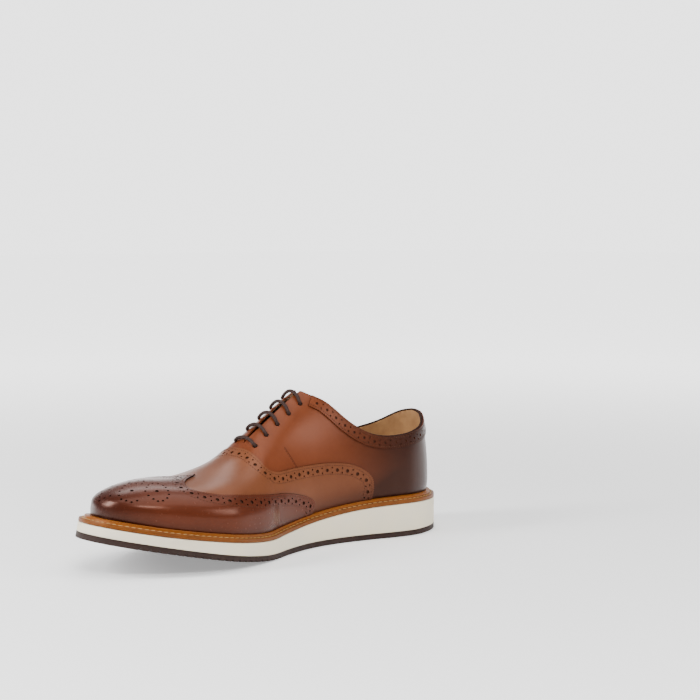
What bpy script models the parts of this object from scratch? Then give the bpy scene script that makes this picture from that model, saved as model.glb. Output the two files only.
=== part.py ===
"""A wingtip brogue oxford, the right shoe, as an assembly of separate pieces.

+X points to the toe, +Y to the medial side, +Z up. The origin is on the ground
under the middle of the heel. Lengths are metres.
"""

import math

import bmesh
import bpy
import numpy as np
from mathutils import Matrix, Vector

MM = 0.001
CLEARANCE = 0.3 * MM        # between pieces that rest on each other

# Sole
SOLE_LENGTH = 300 * MM
BALL_WIDTH = 109 * MM
WAIST_WIDTH = 70 * MM
HEEL_WIDTH = 77 * MM
HEEL_CENTRE = 38 * MM       # from the back of the sole to the origin
TOE_SPRING = 24 * MM
OUTSOLE_THICKNESS = 4.0 * MM
MIDSOLE_AT_HEEL = 20.0 * MM
MIDSOLE_AT_BALL = 9.3 * MM
RIB_PITCH = 5.4 * MM
GROOVE_WIDTH = 1.8 * MM
GROOVE_DEPTH = 1.3 * MM
GROOVE_MARGIN = 4.5 * MM
PLAIN_END = 2 * RIB_PITCH   # of the sole's underside, at the heel and at the toe

# Welt and insole
WELT_THICKNESS = 3.0 * MM
WELT_SHOW = 7.5 * MM        # from the welt's edge to the foot of the upper
WELT_FLANGE = 3.2 * MM      # flat part outside the raised rib
WELT_RIB_HEIGHT = 2.0 * MM
WELT_PLAY = 0.36 * MM       # between the welt and the side of the upper
WELT_EDGE_ROUND = 0.5 * MM
WELT_RIB_ROUND = 0.7 * MM
WELT_NEAR_FOOT = 0.5 * MM   # height of the welt's narrowest place over its flange
INSOLE_RISE = 2.0 * MM      # insole above the welt's flat
INSOLE_PLAY = 0.8 * MM      # between the insole's edge and the upper's wall

# Upper
INSTEP_HEIGHT = 86 * MM     # above the welt, where the facings end
UPPER_WALL = 2.2 * MM
FEATHER_BULGE = 2.6 * MM    # how far the side swells past its foot
BULGE_HEIGHT = 11 * MM      # where that swelling is widest
OVERLAY = 1.0 * MM          # leather of cap, vamp and collar band
OVERLAY_FOOT = 3.0 * MM     # lower edge of cap and vamp above the welt
COLLAR_BAND_WIDTH = 9 * MM
SLIT_WIDTH = 6 * MM
SLIT_EASE = 4 * SLIT_WIDTH  # length over which the slit opens to its width

# Lacing
EYELET_PAIRS = 5
EYELET_DIAMETER = 4.4 * MM
EYELET_FROM_RIDGE = 11.5 * MM
LACE_DIAMETER = 2.4 * MM
LACE_ARCH = 2.4 * MM        # middle line of a bar above the facings, halfway
LACE_BEND = 1.6 * MM        # bend radius of the lace's middle line at an eyelet
LACE_TRACK = 1.7 * MM       # hidden runs lie this far to either side of the eyelets
LACE_GAP = 0.8 * MM         # between the hidden runs and the facings over them
LACE_LEAD = 4.0 * MM        # from an eyelet's station to the first stop of a hidden run
LACE_TAIL = 6.0 * MM        # hidden end beside the top eyelet
ARCH_STOPS = (0.62, 0.3, 0, -0.3, -0.62)
TONGUE_THICKNESS = 2.0 * MM
TONGUE_HALF = 29 * MM
TONGUE_TAPER = 0.14         # share of that width missing at the tongue's front
TONGUE_GAP = 0.8 * MM       # between the tongue's edges and the upper

# Shares of the sole's length, from the back of the heel
RUN_OUT_FROM = 0.56         # tread grooves run out at the medial edge from here
RUN_OUT_TO = 0.93
SPRING_FROM = 0.56
SPRING_EASE = 0.25
HEEL_FAN = 0.125            # sections turn round the heel behind this
TOE_FAN = 0.86              # and round the toe in front of this
TOE_RAY = 0.18              # unrolled length of the toe's middle line
SLIT_FRONT = 0.573
EYELET_FRONT = 0.561
EYELET_BACK = 0.414
TONGUE_FRONT = 0.612
TONGUE_TOP = 0.392
COLLAR_FRONT = 0.376

# Sole outline: share along, the width that the row follows, medial and lateral share of it
SOLE_ROWS = (
    (0.000, HEEL_WIDTH, 0.000, 0.000),
    (0.012, HEEL_WIDTH, 0.185, 0.170),
    (0.040, HEEL_WIDTH, 0.330, 0.305),
    (0.080, HEEL_WIDTH, 0.445, 0.415),
    (0.140, HEEL_WIDTH, 0.515, 0.495),
    (0.200, HEEL_WIDTH, 0.490, 0.512),
    (0.270, WAIST_WIDTH, 0.462, 0.576),
    (0.340, WAIST_WIDTH, 0.405, 0.580),
    (0.410, WAIST_WIDTH, 0.390, 0.597),
    (0.470, WAIST_WIDTH, 0.424, 0.630),
    (0.530, BALL_WIDTH, 0.322, 0.438),
    (0.600, BALL_WIDTH, 0.402, 0.492),
    (0.660, BALL_WIDTH, 0.448, 0.518),
    (0.720, BALL_WIDTH, 0.475, 0.521),
    (0.780, BALL_WIDTH, 0.457, 0.486),
    (0.840, BALL_WIDTH, 0.415, 0.428),
    (0.900, BALL_WIDTH, 0.349, 0.354),
    (0.950, BALL_WIDTH, 0.262, 0.265),
    (0.985, BALL_WIDTH, 0.152, 0.154),
    (1.000, BALL_WIDTH, 0.000, 0.000),
)

# Midsole thickness: share along, share of the way from the ball's to the heel's thickness
WEDGE_ROWS = (
    (0.00, 0.88),
    (0.15, 1.00),
    (0.30, 0.84),
    (0.42, 0.48),
    (0.52, 0.19),
    (0.62, 0.02),
    (0.72, -0.08),
    (0.86, -0.24),
    (1.00, -0.29),
)

# Sections of the last: share along, crown as share of the instep height, fullness of the side,
# fullness of the crown, ridge towards the medial side as share of the ball, inset as share of WELT_SHOW
LAST_ROWS = (
    (0.00, 1.100, 2.20, 2.00, 0.000, 1.00),
    (0.12, 1.120, 2.20, 2.00, 0.000, 1.00),
    (0.25, 1.110, 2.10, 1.90, 0.010, 1.00),
    (0.36, 1.045, 1.90, 1.80, 0.020, 1.00),
    (0.44, 0.935, 1.80, 1.70, 0.030, 1.02),
    (0.52, 0.783, 1.80, 1.70, 0.040, 1.06),
    (0.60, 0.612, 1.90, 1.80, 0.045, 1.12),
    (0.68, 0.470, 2.05, 2.00, 0.040, 1.18),
    (0.75, 0.382, 2.20, 2.05, 0.025, 1.22),
    (0.83, 0.335, 2.20, 2.10, 0.010, 1.26),
    (0.90, 0.292, 2.15, 2.00, 0.000, 1.36),
    (1.00, 0.200, 2.05, 1.90, 0.000, 1.52),
)

# Collar edge: share of the section, medial and lateral height as share of the instep height
TOPLINE_ROWS = (
    (0.000, 0.705, 0.705),
    (0.035, 0.682, 0.678),
    (0.080, 0.610, 0.595),
    (0.125, 0.560, 0.535),
    (0.180, 0.535, 0.500),
    (0.243, 0.560, 0.525),
    (0.282, 0.635, 0.605),
    (0.321, 0.760, 0.740),
    (0.355, 0.886, 0.875),
    (0.385, 0.957, 0.955),
    (0.405, 1.020, 1.020),
    (0.440, 1.200, 1.200),
)

# Pattern lines: share along, share of the girth from the ridge (0) to the foot of the upper (1)
CAP_EDGE = (
    (0.738, 0.000),
    (0.768, 0.080),
    (0.797, 0.215),
    (0.809, 0.320),
    (0.811, 0.400),
    (0.804, 0.460),
    (0.786, 0.512),
    (0.752, 0.556),
    (0.705, 0.582),
    (0.645, 0.602),
    (0.582, 0.639),
    (0.527, 0.693),
    (0.478, 0.763),
    (0.448, 0.814),
    (0.429, 0.861),
    (0.424, 0.905),
    (0.432, 0.960),
    (0.440, 1.080),
)
VAMP_EDGE = (
    (0.594, 0.000),
    (0.590, 0.100),
    (0.582, 0.280),
    (0.569, 0.398),
    (0.537, 0.490),
    (0.478, 0.548),
    (0.424, 0.597),
    (0.365, 0.647),
    (0.311, 0.702),
    (0.277, 0.760),
    (0.257, 0.818),
    (0.252, 0.891),
    (0.257, 0.990),
    (0.262, 1.080),
)

# Detail of the meshes, and small steps that measure slopes
HEEL_COLUMNS = 6
QUARTER_COLUMNS = 17
VAMP_COLUMNS = 9
TOE_COLUMNS = 7
SIDE_ROWS = 6
OUTLINE_STEPS = 10          # points from one row of the sole's outline to the next
WELT_STEPS = 5              # of them from one section of the welt to the next
EYELET_SIDES = 12
TONGUE_ROWS = 13
TONGUE_POINTS = 11
SLOPE_STEP = 0.5 * MM
NEAR_GIRTH = 1.0 * MM
NEAR_SHARE = 0.004
BAND_SHARE = 0.01
MERGE = 0.01 * MM
SHARP_ANGLE = 40

# Cutters
CUTTER_ABOVE = 6 * OVERLAY
CUTTER_BELOW = 2 * UPPER_WALL
CUTTER_PAST = 1.25          # share of the girth, so past the foot of the upper
CUTTER_STRAIGHT = 0.45      # share of the line from where the cutter no longer fans
CUTTER_STEPS = 9
SKIN_BEHIND = 0.06          # share that an overlay's skin reaches behind its line
EYELET_CUT = 4 * UPPER_WALL


# Curves and tables

def catmull(points, count, closed):
    """A smooth curve through the points, with count steps between neighbours."""
    p = np.asarray(points, float)
    if not closed:
        p = np.vstack([2 * p[0] - p[1], p, 2 * p[-1] - p[-2]])
    total = len(p)
    spans = range(total) if closed else range(1, total - 2)
    curve = []
    for i in spans:
        p0, p1, p2, p3 = p[i - 1], p[i], p[(i + 1) % total], p[(i + 2) % total]
        d0 = max(np.linalg.norm(p1 - p0), 1e-9) ** 0.5
        d1 = max(np.linalg.norm(p2 - p1), 1e-9) ** 0.5
        d2 = max(np.linalg.norm(p3 - p2), 1e-9) ** 0.5
        m1 = (p2 - p1) + d1 * ((p1 - p0) / d0 - (p2 - p0) / (d0 + d1))
        m2 = (p2 - p1) + d1 * ((p3 - p2) / d2 - (p3 - p1) / (d1 + d2))
        for t in np.linspace(0, 1, count, endpoint=False):
            ease = t * t * (3 - 2 * t)
            curve.append(p1 + ease * (p2 - p1) + t * (1 - t) * ((1 - t) * m1 - t * m2))
    if not closed:
        curve.append(p[-2])
    return np.array(curve)


def read_rows(rows, column, share):
    """Natural cubic spline through one column of a table, read at a share along."""
    xs = np.array([row[0] for row in rows], float)
    ys = np.array([row[column] for row in rows], float)
    n = len(xs)
    h = np.diff(xs)
    a = np.zeros((n, n))
    b = np.zeros(n)
    a[0, 0] = a[-1, -1] = 1
    for i in range(1, n - 1):
        a[i, i - 1:i + 2] = h[i - 1], 2 * (h[i - 1] + h[i]), h[i]
        b[i] = 3 * ((ys[i + 1] - ys[i]) / h[i] - (ys[i] - ys[i - 1]) / h[i - 1])
    c = np.linalg.solve(a, b)
    share = np.clip(np.asarray(share, float), xs[0], xs[-1])
    k = np.clip(np.searchsorted(xs, share, side="right") - 1, 0, n - 2)
    t = share - xs[k]
    d = (c[k + 1] - c[k]) / (3 * h[k])
    slope = (ys[k + 1] - ys[k]) / h[k] - h[k] * (2 * c[k] + c[k + 1]) / 3
    return ys[k] + slope * t + c[k] * t**2 + d * t**3


def place(share):
    """World x of a share along the sole."""
    return share * SOLE_LENGTH - HEEL_CENTRE


def share_at(x):
    return (np.asarray(x, float) + HEEL_CENTRE) / SOLE_LENGTH


# Sole profile

def sole_outline(count):
    medial = [(place(s), width * m) for s, width, m, _ in SOLE_ROWS]
    lateral = [(place(s), -width * l) for s, width, _, l in SOLE_ROWS]
    return catmull(medial + lateral[-2:0:-1], count, True)


def inset(loop, distance):
    """The outline moved inwards by a distance, or by one distance for each point."""
    ahead = np.roll(loop, -1, axis=0) - np.roll(loop, 1, axis=0)
    ahead /= np.linalg.norm(ahead, axis=1)[:, None]
    inward = np.stack([ahead[:, 1], -ahead[:, 0]], axis=1)
    return loop + inward * np.broadcast_to(distance, len(loop))[:, None]


def reach(loop, x, y, dx, dy):
    """Distance from a point inside the loop to it, along a direction."""
    ahead = np.roll(loop, -1, axis=0)
    side_a = (loop[:, 1] - y) * dx - (loop[:, 0] - x) * dy
    side_b = (ahead[:, 1] - y) * dx - (ahead[:, 0] - x) * dy
    hit = (side_a * side_b <= 0) & (side_a != side_b)
    t = side_a[hit] / (side_a[hit] - side_b[hit])
    crossing = loop[hit] + t[:, None] * (ahead[hit] - loop[hit])
    distance = (crossing[:, 0] - x) * dx + (crossing[:, 1] - y) * dy
    return float(distance.max())


def ground(x):
    """Height of the sole's underside over the floor: flat, then the toe spring."""
    t = np.clip((share_at(x) - SPRING_FROM) / (1 - SPRING_FROM), 0, None)
    full = math.sqrt(1 + SPRING_EASE**2) - SPRING_EASE
    return TOE_SPRING * (np.sqrt(t**2 + SPRING_EASE**2) - SPRING_EASE) / full


def tilt(x):
    rise = ground(x + SLOPE_STEP) - ground(x - SLOPE_STEP)
    return np.arctan(rise / (2 * SLOPE_STEP))


def stack_point(x, y, height):
    """A point at a height over the sole's underside, square to it."""
    angle = tilt(x)
    return np.stack([x - height * np.sin(angle), y + 0 * x, ground(x) + height * np.cos(angle)], axis=-1)


def midsole_top(x):
    wedge = read_rows(WEDGE_ROWS, 1, share_at(x))
    return OUTSOLE_THICKNESS + MIDSOLE_AT_BALL + (MIDSOLE_AT_HEEL - MIDSOLE_AT_BALL) * wedge


def welt_top(x):
    return midsole_top(x) + WELT_THICKNESS


def upper_inset(x):
    return WELT_SHOW * read_rows(LAST_ROWS, 5, share_at(x))


# Last surface

OUTLINE = sole_outline(OUTLINE_STEPS)
FEATHER = inset(OUTLINE, upper_inset(OUTLINE[:, 0]))


def ridge(x):
    """Sideways place of the crown."""
    middle = (reach(FEATHER, x, 0, 0, 1) - reach(FEATHER, x, 0, 0, -1)) / 2
    return middle + BALL_WIDTH * float(read_rows(LAST_ROWS, 4, share_at(x)))


def section(share, side):
    """Centre, direction and reach of the section at a share along: fans at heel and toe."""
    if share < HEEL_FAN:
        x = place(HEEL_FAN)
        angle = math.pi * (1 - 0.5 * share / HEEL_FAN)
    elif share > TOE_FAN:
        x = place(TOE_FAN)
        angle = math.pi / 2 * (1 - share) / (1 - TOE_FAN)
    else:
        x = place(share)
        angle = math.pi / 2
    y = ridge(x)
    dx, dy = math.cos(angle), side * math.sin(angle)
    return x, y, dx, dy, reach(FEATHER, x, y, dx, dy)


def skin(row, turn, drop=0.0):
    """Points of the last on one section: turn 0 at the foot, 1 at the widest, 2 at the crown.

    A drop takes them straight down below the widest place, for the cutters.
    """
    x0, y0, dx, dy, foot = row
    turn = np.asarray(turn, float)
    low = np.clip(turn, 0, 1) * math.pi / 2
    high = np.clip(turn - 1, 0, 1) * math.pi / 2
    fullness = read_rows(LAST_ROWS, 2, share_at(x0 + dx * foot))
    crown_fullness = read_rows(LAST_ROWS, 3, share_at(x0 + dx * foot))
    out = np.where(turn <= 1, foot + FEATHER_BULGE * np.sin(low),
                   (foot + FEATHER_BULGE) * np.cos(high) ** (2 / fullness))
    x = x0 + dx * out
    y = y0 + dy * out
    crown = INSTEP_HEIGHT * read_rows(LAST_ROWS, 1, share_at(x))
    height = np.where(turn <= 1, BULGE_HEIGHT * (1 - np.cos(low)),
                      BULGE_HEIGHT + (crown - BULGE_HEIGHT) * np.sin(high) ** (2 / crown_fullness))
    return stack_point(x, y, welt_top(x) + height - drop)


FINE_TURNS = np.linspace(2, 0, 81)


def girth_table(row):
    """Length along the section from the crown down, for each fine turn."""
    points = skin(row, FINE_TURNS)
    steps = np.linalg.norm(np.diff(points, axis=0), axis=1)
    return np.concatenate([[0], np.cumsum(steps)])


def turn_at_girth(row, girth):
    return np.interp(girth, girth_table(row), FINE_TURNS)


def flat_skin(along, across):
    """Unrolled pattern to last: across is the girth's share, negative on the lateral side.

    In front of the toe's centre the pattern is polar, so it stays continuous over the toe.
    """
    ahead = (along - TOE_FAN) / TOE_RAY
    girth = abs(across)
    share = along
    if ahead > 0:
        girth = math.hypot(ahead, across)
        share = TOE_FAN + (1 - TOE_FAN) * (1 - math.atan2(abs(across), ahead) * 2 / math.pi)
    row = section(share, 1 if across >= 0 else -1)
    lengths = girth_table(row)
    length = girth * lengths[-1]
    widest = np.interp(1, FINE_TURNS[::-1], lengths[::-1])
    if length > widest:
        return skin(row, 1.0, length - widest)
    return skin(row, turn_at_girth(row, length))


def flat_normal(along, across):
    ahead = flat_skin(along + NEAR_SHARE, across) - flat_skin(along - NEAR_SHARE, across)
    around = flat_skin(along, across + NEAR_SHARE) - flat_skin(along, across - NEAR_SHARE)
    normal = np.cross(ahead, -around)
    normal = normal if normal[2] + 0.2 * normal[1] * np.sign(across) > 0 else -normal
    return normal / np.linalg.norm(normal)


def girth_point(share, girth, lift):
    """A point at a girth from the ridge, positive on the medial side, lifted off the last."""
    side = 1 if girth >= 0 else -1
    girth = abs(girth)

    def at(station, length):
        row = section(station, side)
        return skin(row, turn_at_girth(row, length))

    point = at(share, girth)
    along = at(share + NEAR_SHARE, girth) - at(share - NEAR_SHARE, girth)
    across = (at(share, girth + NEAR_GIRTH) - at(share, max(girth - NEAR_GIRTH, 0))) * side
    normal = np.cross(along, across)
    normal /= np.linalg.norm(normal)
    return Vector(point + normal * lift), Vector(normal)


def collar_turn(share, side):
    """Turn at which a section is cut off by the lace slit or the collar; 2 where it is closed."""
    if share >= SLIT_FRONT:
        return 2.0
    row = section(share, side)
    opening = min(1, math.sqrt((SLIT_FRONT - share) * SOLE_LENGTH / SLIT_EASE))
    turn = float(turn_at_girth(row, opening * SLIT_WIDTH / 2))
    wanted = INSTEP_HEIGHT * float(read_rows(TOPLINE_ROWS, 1 if side > 0 else 2, share))
    points = skin(row, FINE_TURNS)
    angle = tilt(points[:, 0])
    heights = (points[:, 2] - ground(points[:, 0])) / np.cos(angle) - welt_top(points[:, 0])
    if heights[0] > wanted:
        turn = min(turn, float(np.interp(wanted, heights[::-1], FINE_TURNS[::-1])))
    return turn


# Blender helpers

def clear_scene():
    for obj in list(bpy.data.objects):
        bpy.data.objects.remove(obj)


def hex_colour(value):
    channels = [int(value[i:i + 2], 16) / 255 for i in (0, 2, 4)]
    linear = [c / 12.92 if c <= 0.04045 else ((c + 0.055) / 1.055) ** 2.4 for c in channels]
    return (*linear, 1.0)


def material(name, colour, roughness):
    made = bpy.data.materials.new(name)
    made.use_nodes = True
    shader = made.node_tree.nodes["Principled BSDF"]
    shader.inputs["Base Color"].default_value = hex_colour(colour)
    shader.inputs["Roughness"].default_value = roughness
    shader.inputs["Metallic"].default_value = 0.0
    made.diffuse_color = hex_colour(colour)
    return made


def make_object(name, bm, look):
    mesh = bpy.data.meshes.new(name)
    bm.to_mesh(mesh)
    bm.free()
    mesh.shade_smooth()
    mesh.set_sharp_from_angle(angle=math.radians(SHARP_ANGLE))
    obj = bpy.data.objects.new(name, mesh)
    bpy.context.scene.collection.objects.link(obj)
    if look is not None:
        mesh.materials.append(look)
    return obj


def make_cutter(name, bm):
    obj = make_object(name, bm, None)
    obj.hide_render = True
    obj.display_type = "WIRE"
    return obj


def cut(obj, cutter, operation):
    modifier = obj.modifiers.new(cutter.name, "BOOLEAN")
    modifier.operation = operation
    modifier.object = cutter


def thicken(obj, thickness, offset):
    modifier = obj.modifiers.new("wall", "SOLIDIFY")
    modifier.thickness = thickness
    modifier.offset = offset


def bridge_grids(bm, low, high):
    """Close two equal grids of vertices, low inside and high outside, into one solid."""
    rows, columns = len(low), len(low[0])
    for i in range(rows - 1):
        for j in range(columns - 1):
            bm.faces.new((high[i][j], high[i + 1][j], high[i + 1][j + 1], high[i][j + 1]))
            bm.faces.new((low[i][j], low[i][j + 1], low[i + 1][j + 1], low[i + 1][j]))
    rim = [(i, 0) for i in range(rows)] + [(rows - 1, j) for j in range(1, columns)]
    rim += [(i, columns - 1) for i in range(rows - 2, -1, -1)] + [(0, j) for j in range(columns - 2, 0, -1)]
    for (i, j), (k, m) in zip(rim, rim[1:] + rim[:1]):
        bm.faces.new((high[k][m], high[i][j], low[i][j], low[k][m]))
    bmesh.ops.recalc_face_normals(bm, faces=bm.faces)


# Sole pieces

def ladder_shares():
    """Stations along the sole, close together at its round ends."""
    ends = np.array([0.0004, 0.002, 0.007, 0.016, 0.030, 0.050, 0.075])
    middle = np.linspace(0.105, 0.895, 27)
    return np.concatenate([ends, middle, 1 - ends[::-1]])


def slab(name, loop, low, high, look):
    """A layer of the sole: its two faces follow the ground, and only bend along X."""
    bm = bmesh.new()
    x_back, x_front = loop[:, 0].min(), loop[:, 0].max()
    faces = []
    for height in (low, high):
        grid = []
        for share in ladder_shares():
            x = x_back + share * (x_front - x_back)
            medial = reach(loop, x, 0, 0, 1)
            lateral = reach(loop, x, 0, 0, -1)
            ends = [stack_point(x, y, height(x)) for y in (-lateral, medial)]
            grid.append([bm.verts.new(p) for p in ends])
        faces.append(grid)
    bridge_grids(bm, faces[0], faces[1])
    return make_object(name, bm, look)


def groove_cutter(bm, x):
    """One tread groove across the sole with round ends; it runs out at the medial toe side."""
    share = share_at(x)
    lateral = -reach(OUTLINE, x, 0, 0, -1) + GROOVE_MARGIN
    medial = reach(OUTLINE, x, 0, 0, 1)
    runs_out = RUN_OUT_FROM < share < RUN_OUT_TO
    medial += GROOVE_MARGIN if runs_out else -GROOVE_MARGIN
    angle = float(tilt(x))
    half = GROOVE_WIDTH / 2
    corners = []
    for y, start in ((medial - half, 0), (lateral + half, math.pi)):
        for turn in np.linspace(start, start + math.pi, 5):
            corners.append((half * math.cos(turn), y + half * math.sin(turn)))
    frame = Matrix.Translation(stack_point(x, 0.0, 0.0)) @ Matrix.Rotation(-angle, 4, "Y")
    rings = []
    for z in (-GROOVE_DEPTH, GROOVE_DEPTH):
        rings.append([bm.verts.new(frame @ Vector((cx, cy, z))) for cx, cy in corners])
    bm.faces.new(rings[0][::-1])
    bm.faces.new(rings[1])
    for i in range(len(corners)):
        k = (i + 1) % len(corners)
        bm.faces.new((rings[0][i], rings[0][k], rings[1][k], rings[1][i]))


def build_outsole(look):
    outsole = slab("outsole", OUTLINE, lambda x: 0.0, lambda x: OUTSOLE_THICKNESS, look)
    bm = bmesh.new()
    first = math.ceil((place(0) + PLAIN_END) / RIB_PITCH - 0.5)
    last = math.floor((place(1) - PLAIN_END) / RIB_PITCH - 0.5)
    for i in range(first, last + 1):
        groove_cutter(bm, (i + 0.5) * RIB_PITCH)
    cut(outsole, make_cutter("cut_grooves", bm), "DIFFERENCE")


def build_midsole(look):
    slab("midsole", OUTLINE, lambda x: OUTSOLE_THICKNESS + CLEARANCE, midsole_top, look)


def build_insole(look):
    loop = inset(FEATHER, UPPER_WALL + INSOLE_PLAY)
    slab("insole", loop, lambda x: midsole_top(x) + CLEARANCE, lambda x: welt_top(x) + INSOLE_RISE, look)


def bulge_at(height):
    """How far the upper stands out past its foot at a height over the welt."""
    return FEATHER_BULGE * math.sin(math.acos(1 - height / BULGE_HEIGHT))


def build_welt(look):
    """A ring with a flat flange and a raised rib against the upper."""
    bottom = CLEARANCE - WELT_THICKNESS
    edge = WELT_EDGE_ROUND
    rib = WELT_RIB_HEIGHT
    # inset from the edge, share of the upper's inset, height over the flange
    profile = (
        (edge, 0, bottom),
        (0, 0, bottom + edge),
        (0, 0, -edge),
        (edge, 0, 0),
        (WELT_FLANGE, 0, 0),
        (WELT_FLANGE + WELT_RIB_ROUND, 0, rib - WELT_RIB_ROUND / 2),
        (WELT_FLANGE + 2 * WELT_RIB_ROUND, 0, rib),
        (-bulge_at(rib) - WELT_PLAY, 1, rib),
        (-bulge_at(WELT_NEAR_FOOT) - WELT_PLAY, 1, WELT_NEAR_FOOT),
        (-WELT_PLAY, 1, -CLEARANCE),
        (UPPER_WALL, 1, -CLEARANCE),
        (UPPER_WALL, 1, bottom),
    )
    outline = OUTLINE[::WELT_STEPS]
    bm = bmesh.new()
    rings = []
    for distance, share, height in profile:
        loop = inset(outline, distance + share * upper_inset(outline[:, 0]))
        points = stack_point(loop[:, 0], loop[:, 1], welt_top(loop[:, 0]) + height)
        rings.append([bm.verts.new(p) for p in points])
    for a, b in zip(rings, rings[1:] + rings[:1]):
        for i in range(len(outline)):
            k = (i + 1) % len(outline)
            bm.faces.new((a[i], a[k], b[k], b[i]))
    bmesh.ops.recalc_face_normals(bm, faces=bm.faces)
    make_object("welt", bm, look)


# Upper pieces

def column_shares():
    """Columns of the skin from the back of the heel to the toe; one lies on the slit's front."""
    heel = np.linspace(0, HEEL_FAN, HEEL_COLUMNS, endpoint=False)
    quarter = np.linspace(HEEL_FAN, SLIT_FRONT, QUARTER_COLUMNS, endpoint=False)
    vamp = np.linspace(SLIT_FRONT, TOE_FAN, VAMP_COLUMNS, endpoint=False)
    toe = np.linspace(TOE_FAN, 1, TOE_COLUMNS)
    return np.concatenate([heel, quarter, vamp, toe])


def foot_turn():
    """Turn at which the overlays' lower edge lies."""
    return math.acos(1 - OVERLAY_FOOT / BULGE_HEIGHT) / (math.pi / 2)


def band_girth(share, side):
    """Girth that the collar band takes, wider where the collar runs steeply."""
    if share < BAND_SHARE:
        return COLLAR_BAND_WIDTH
    lengths = []
    for s in (share - BAND_SHARE, share + BAND_SHARE):
        row = section(s, side)
        lengths.append(np.interp(-collar_turn(s, side), -FINE_TURNS, girth_table(row)))
    slope = (lengths[1] - lengths[0]) / (2 * BAND_SHARE * SOLE_LENGTH)
    return COLLAR_BAND_WIDTH * math.sqrt(1 + min(slope**2, 1.0))


def column_turns(share, side):
    """Turns of one column's rows, from the foot to the collar, the slit or the ridge."""
    row = section(share, side)
    top = collar_turn(share, side)
    top_girth = float(np.interp(-top, -FINE_TURNS, girth_table(row)))
    band = band_girth(share, side) if share < SLIT_FRONT else COLLAR_BAND_WIDTH
    band_turns = [float(turn_at_girth(row, top_girth + band * part)) for part in (1, 0.5)]
    foot = foot_turn()
    low = [0, foot, (foot + 1) / 2]
    return low + list(np.linspace(1, band_turns[0], SIDE_ROWS)) + [band_turns[1], top]


def skin_sheet(first_share, last_share, first_row, last_row):
    """The last's surface between two shares and two rows, both sides, as one triangulated sheet."""
    bm = bmesh.new()
    shares = [s for s in column_shares() if first_share <= s <= last_share]
    for side in (1, -1):
        grid = []
        for share in shares:
            turns = column_turns(share, side)[first_row:last_row]
            grid.append([bm.verts.new(p) for p in skin(section(share, side), turns)])
        for a, b in zip(grid, grid[1:]):
            for j in range(len(a) - 1):
                corners = (a[j], b[j], b[j + 1], a[j + 1])
                bm.faces.new(corners if side < 0 else corners[::-1])
    bmesh.ops.remove_doubles(bm, verts=bm.verts, dist=MERGE)
    bmesh.ops.dissolve_degenerate(bm, edges=bm.edges, dist=MERGE)
    bmesh.ops.recalc_face_normals(bm, faces=bm.faces)
    if sum(f.normal.z * f.calc_area() for f in bm.faces) < 0:
        bmesh.ops.reverse_faces(bm, faces=bm.faces)
    bmesh.ops.triangulate(bm, faces=bm.faces, quad_method="SHORT_EDGE")
    return bm


def eyelets():
    """Middle and normal of each eyelet, front to back, as {side: [...]}."""
    found = {}
    for side in (1, -1):
        shares = np.linspace(EYELET_FRONT, EYELET_BACK, EYELET_PAIRS)
        found[side] = [girth_point(s, side * EYELET_FROM_RIDGE, 0.0) for s in shares]
    return found


def build_upper(look):
    upper = make_object("upper", skin_sheet(0, 1, 0, None), look)
    thicken(upper, UPPER_WALL, -1)
    bm = bmesh.new()
    for holes in eyelets().values():
        for middle, normal in holes:
            turn = normal.to_track_quat("Z", "Y").to_matrix().to_4x4()
            bmesh.ops.create_cone(bm, cap_ends=True, segments=EYELET_SIDES, radius1=EYELET_DIAMETER / 2,
                                  radius2=EYELET_DIAMETER / 2, depth=EYELET_CUT,
                                  matrix=Matrix.Translation(middle) @ turn)
    cut(upper, make_cutter("cut_eyelets", bm), "DIFFERENCE")


def front_cutter(name, edge):
    """A thick skin over everything in front of a pattern line, past the foot of the upper."""
    medial = catmull(edge, 2, False)
    line = np.vstack([medial[:0:-1] * (1, -1), medial])
    sweep = np.linspace(-1, 1, len(line))
    bm = bmesh.new()
    low, high = [], []
    for (along, across), u in zip(line, sweep):
        side = math.copysign(1, u)
        if abs(u) > 1 - CUTTER_STRAIGHT:
            part = (1 - abs(u)) / CUTTER_STRAIGHT
            far = (line[0][0] + part * (TOE_FAN - line[0][0]), side * CUTTER_PAST)
        else:
            angle = u / (1 - CUTTER_STRAIGHT) * math.pi / 2
            far = (TOE_FAN + CUTTER_PAST * TOE_RAY * math.cos(angle), CUTTER_PAST * math.sin(angle))
        low.append([])
        high.append([])
        for t in np.linspace(0, 1, CUTTER_STEPS):
            place_flat = (along + t * (far[0] - along), across + t * (far[1] - across))
            point = flat_skin(*place_flat)
            normal = flat_normal(*place_flat)
            low[-1].append(bm.verts.new(point - normal * CUTTER_BELOW))
            high[-1].append(bm.verts.new(point + normal * CUTTER_ABOVE))
    bridge_grids(bm, low, high)
    bmesh.ops.triangulate(bm, faces=bm.faces)
    return make_cutter(name, bm)


def build_overlay(name, edge, layer, look):
    """Cap or vamp: the last's skin at its layer, cut along its pattern line."""
    first = min(row[0] for row in edge) - SKIN_BEHIND
    piece = make_object(name, skin_sheet(first, 1, 1, None), look)
    inner = CLEARANCE + layer * (OVERLAY + CLEARANCE)
    thicken(piece, OVERLAY, 1 + 2 * inner / OVERLAY)
    cut(piece, front_cutter("cut_" + name, edge), "INTERSECT")


def build_collar_band(look):
    """The band along the collar, round the heel from one facing to the other."""
    band = make_object("collar_band", skin_sheet(0, COLLAR_FRONT, -3, None), look)
    thicken(band, OVERLAY, 1 + 2 * CLEARANCE / OVERLAY)


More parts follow.
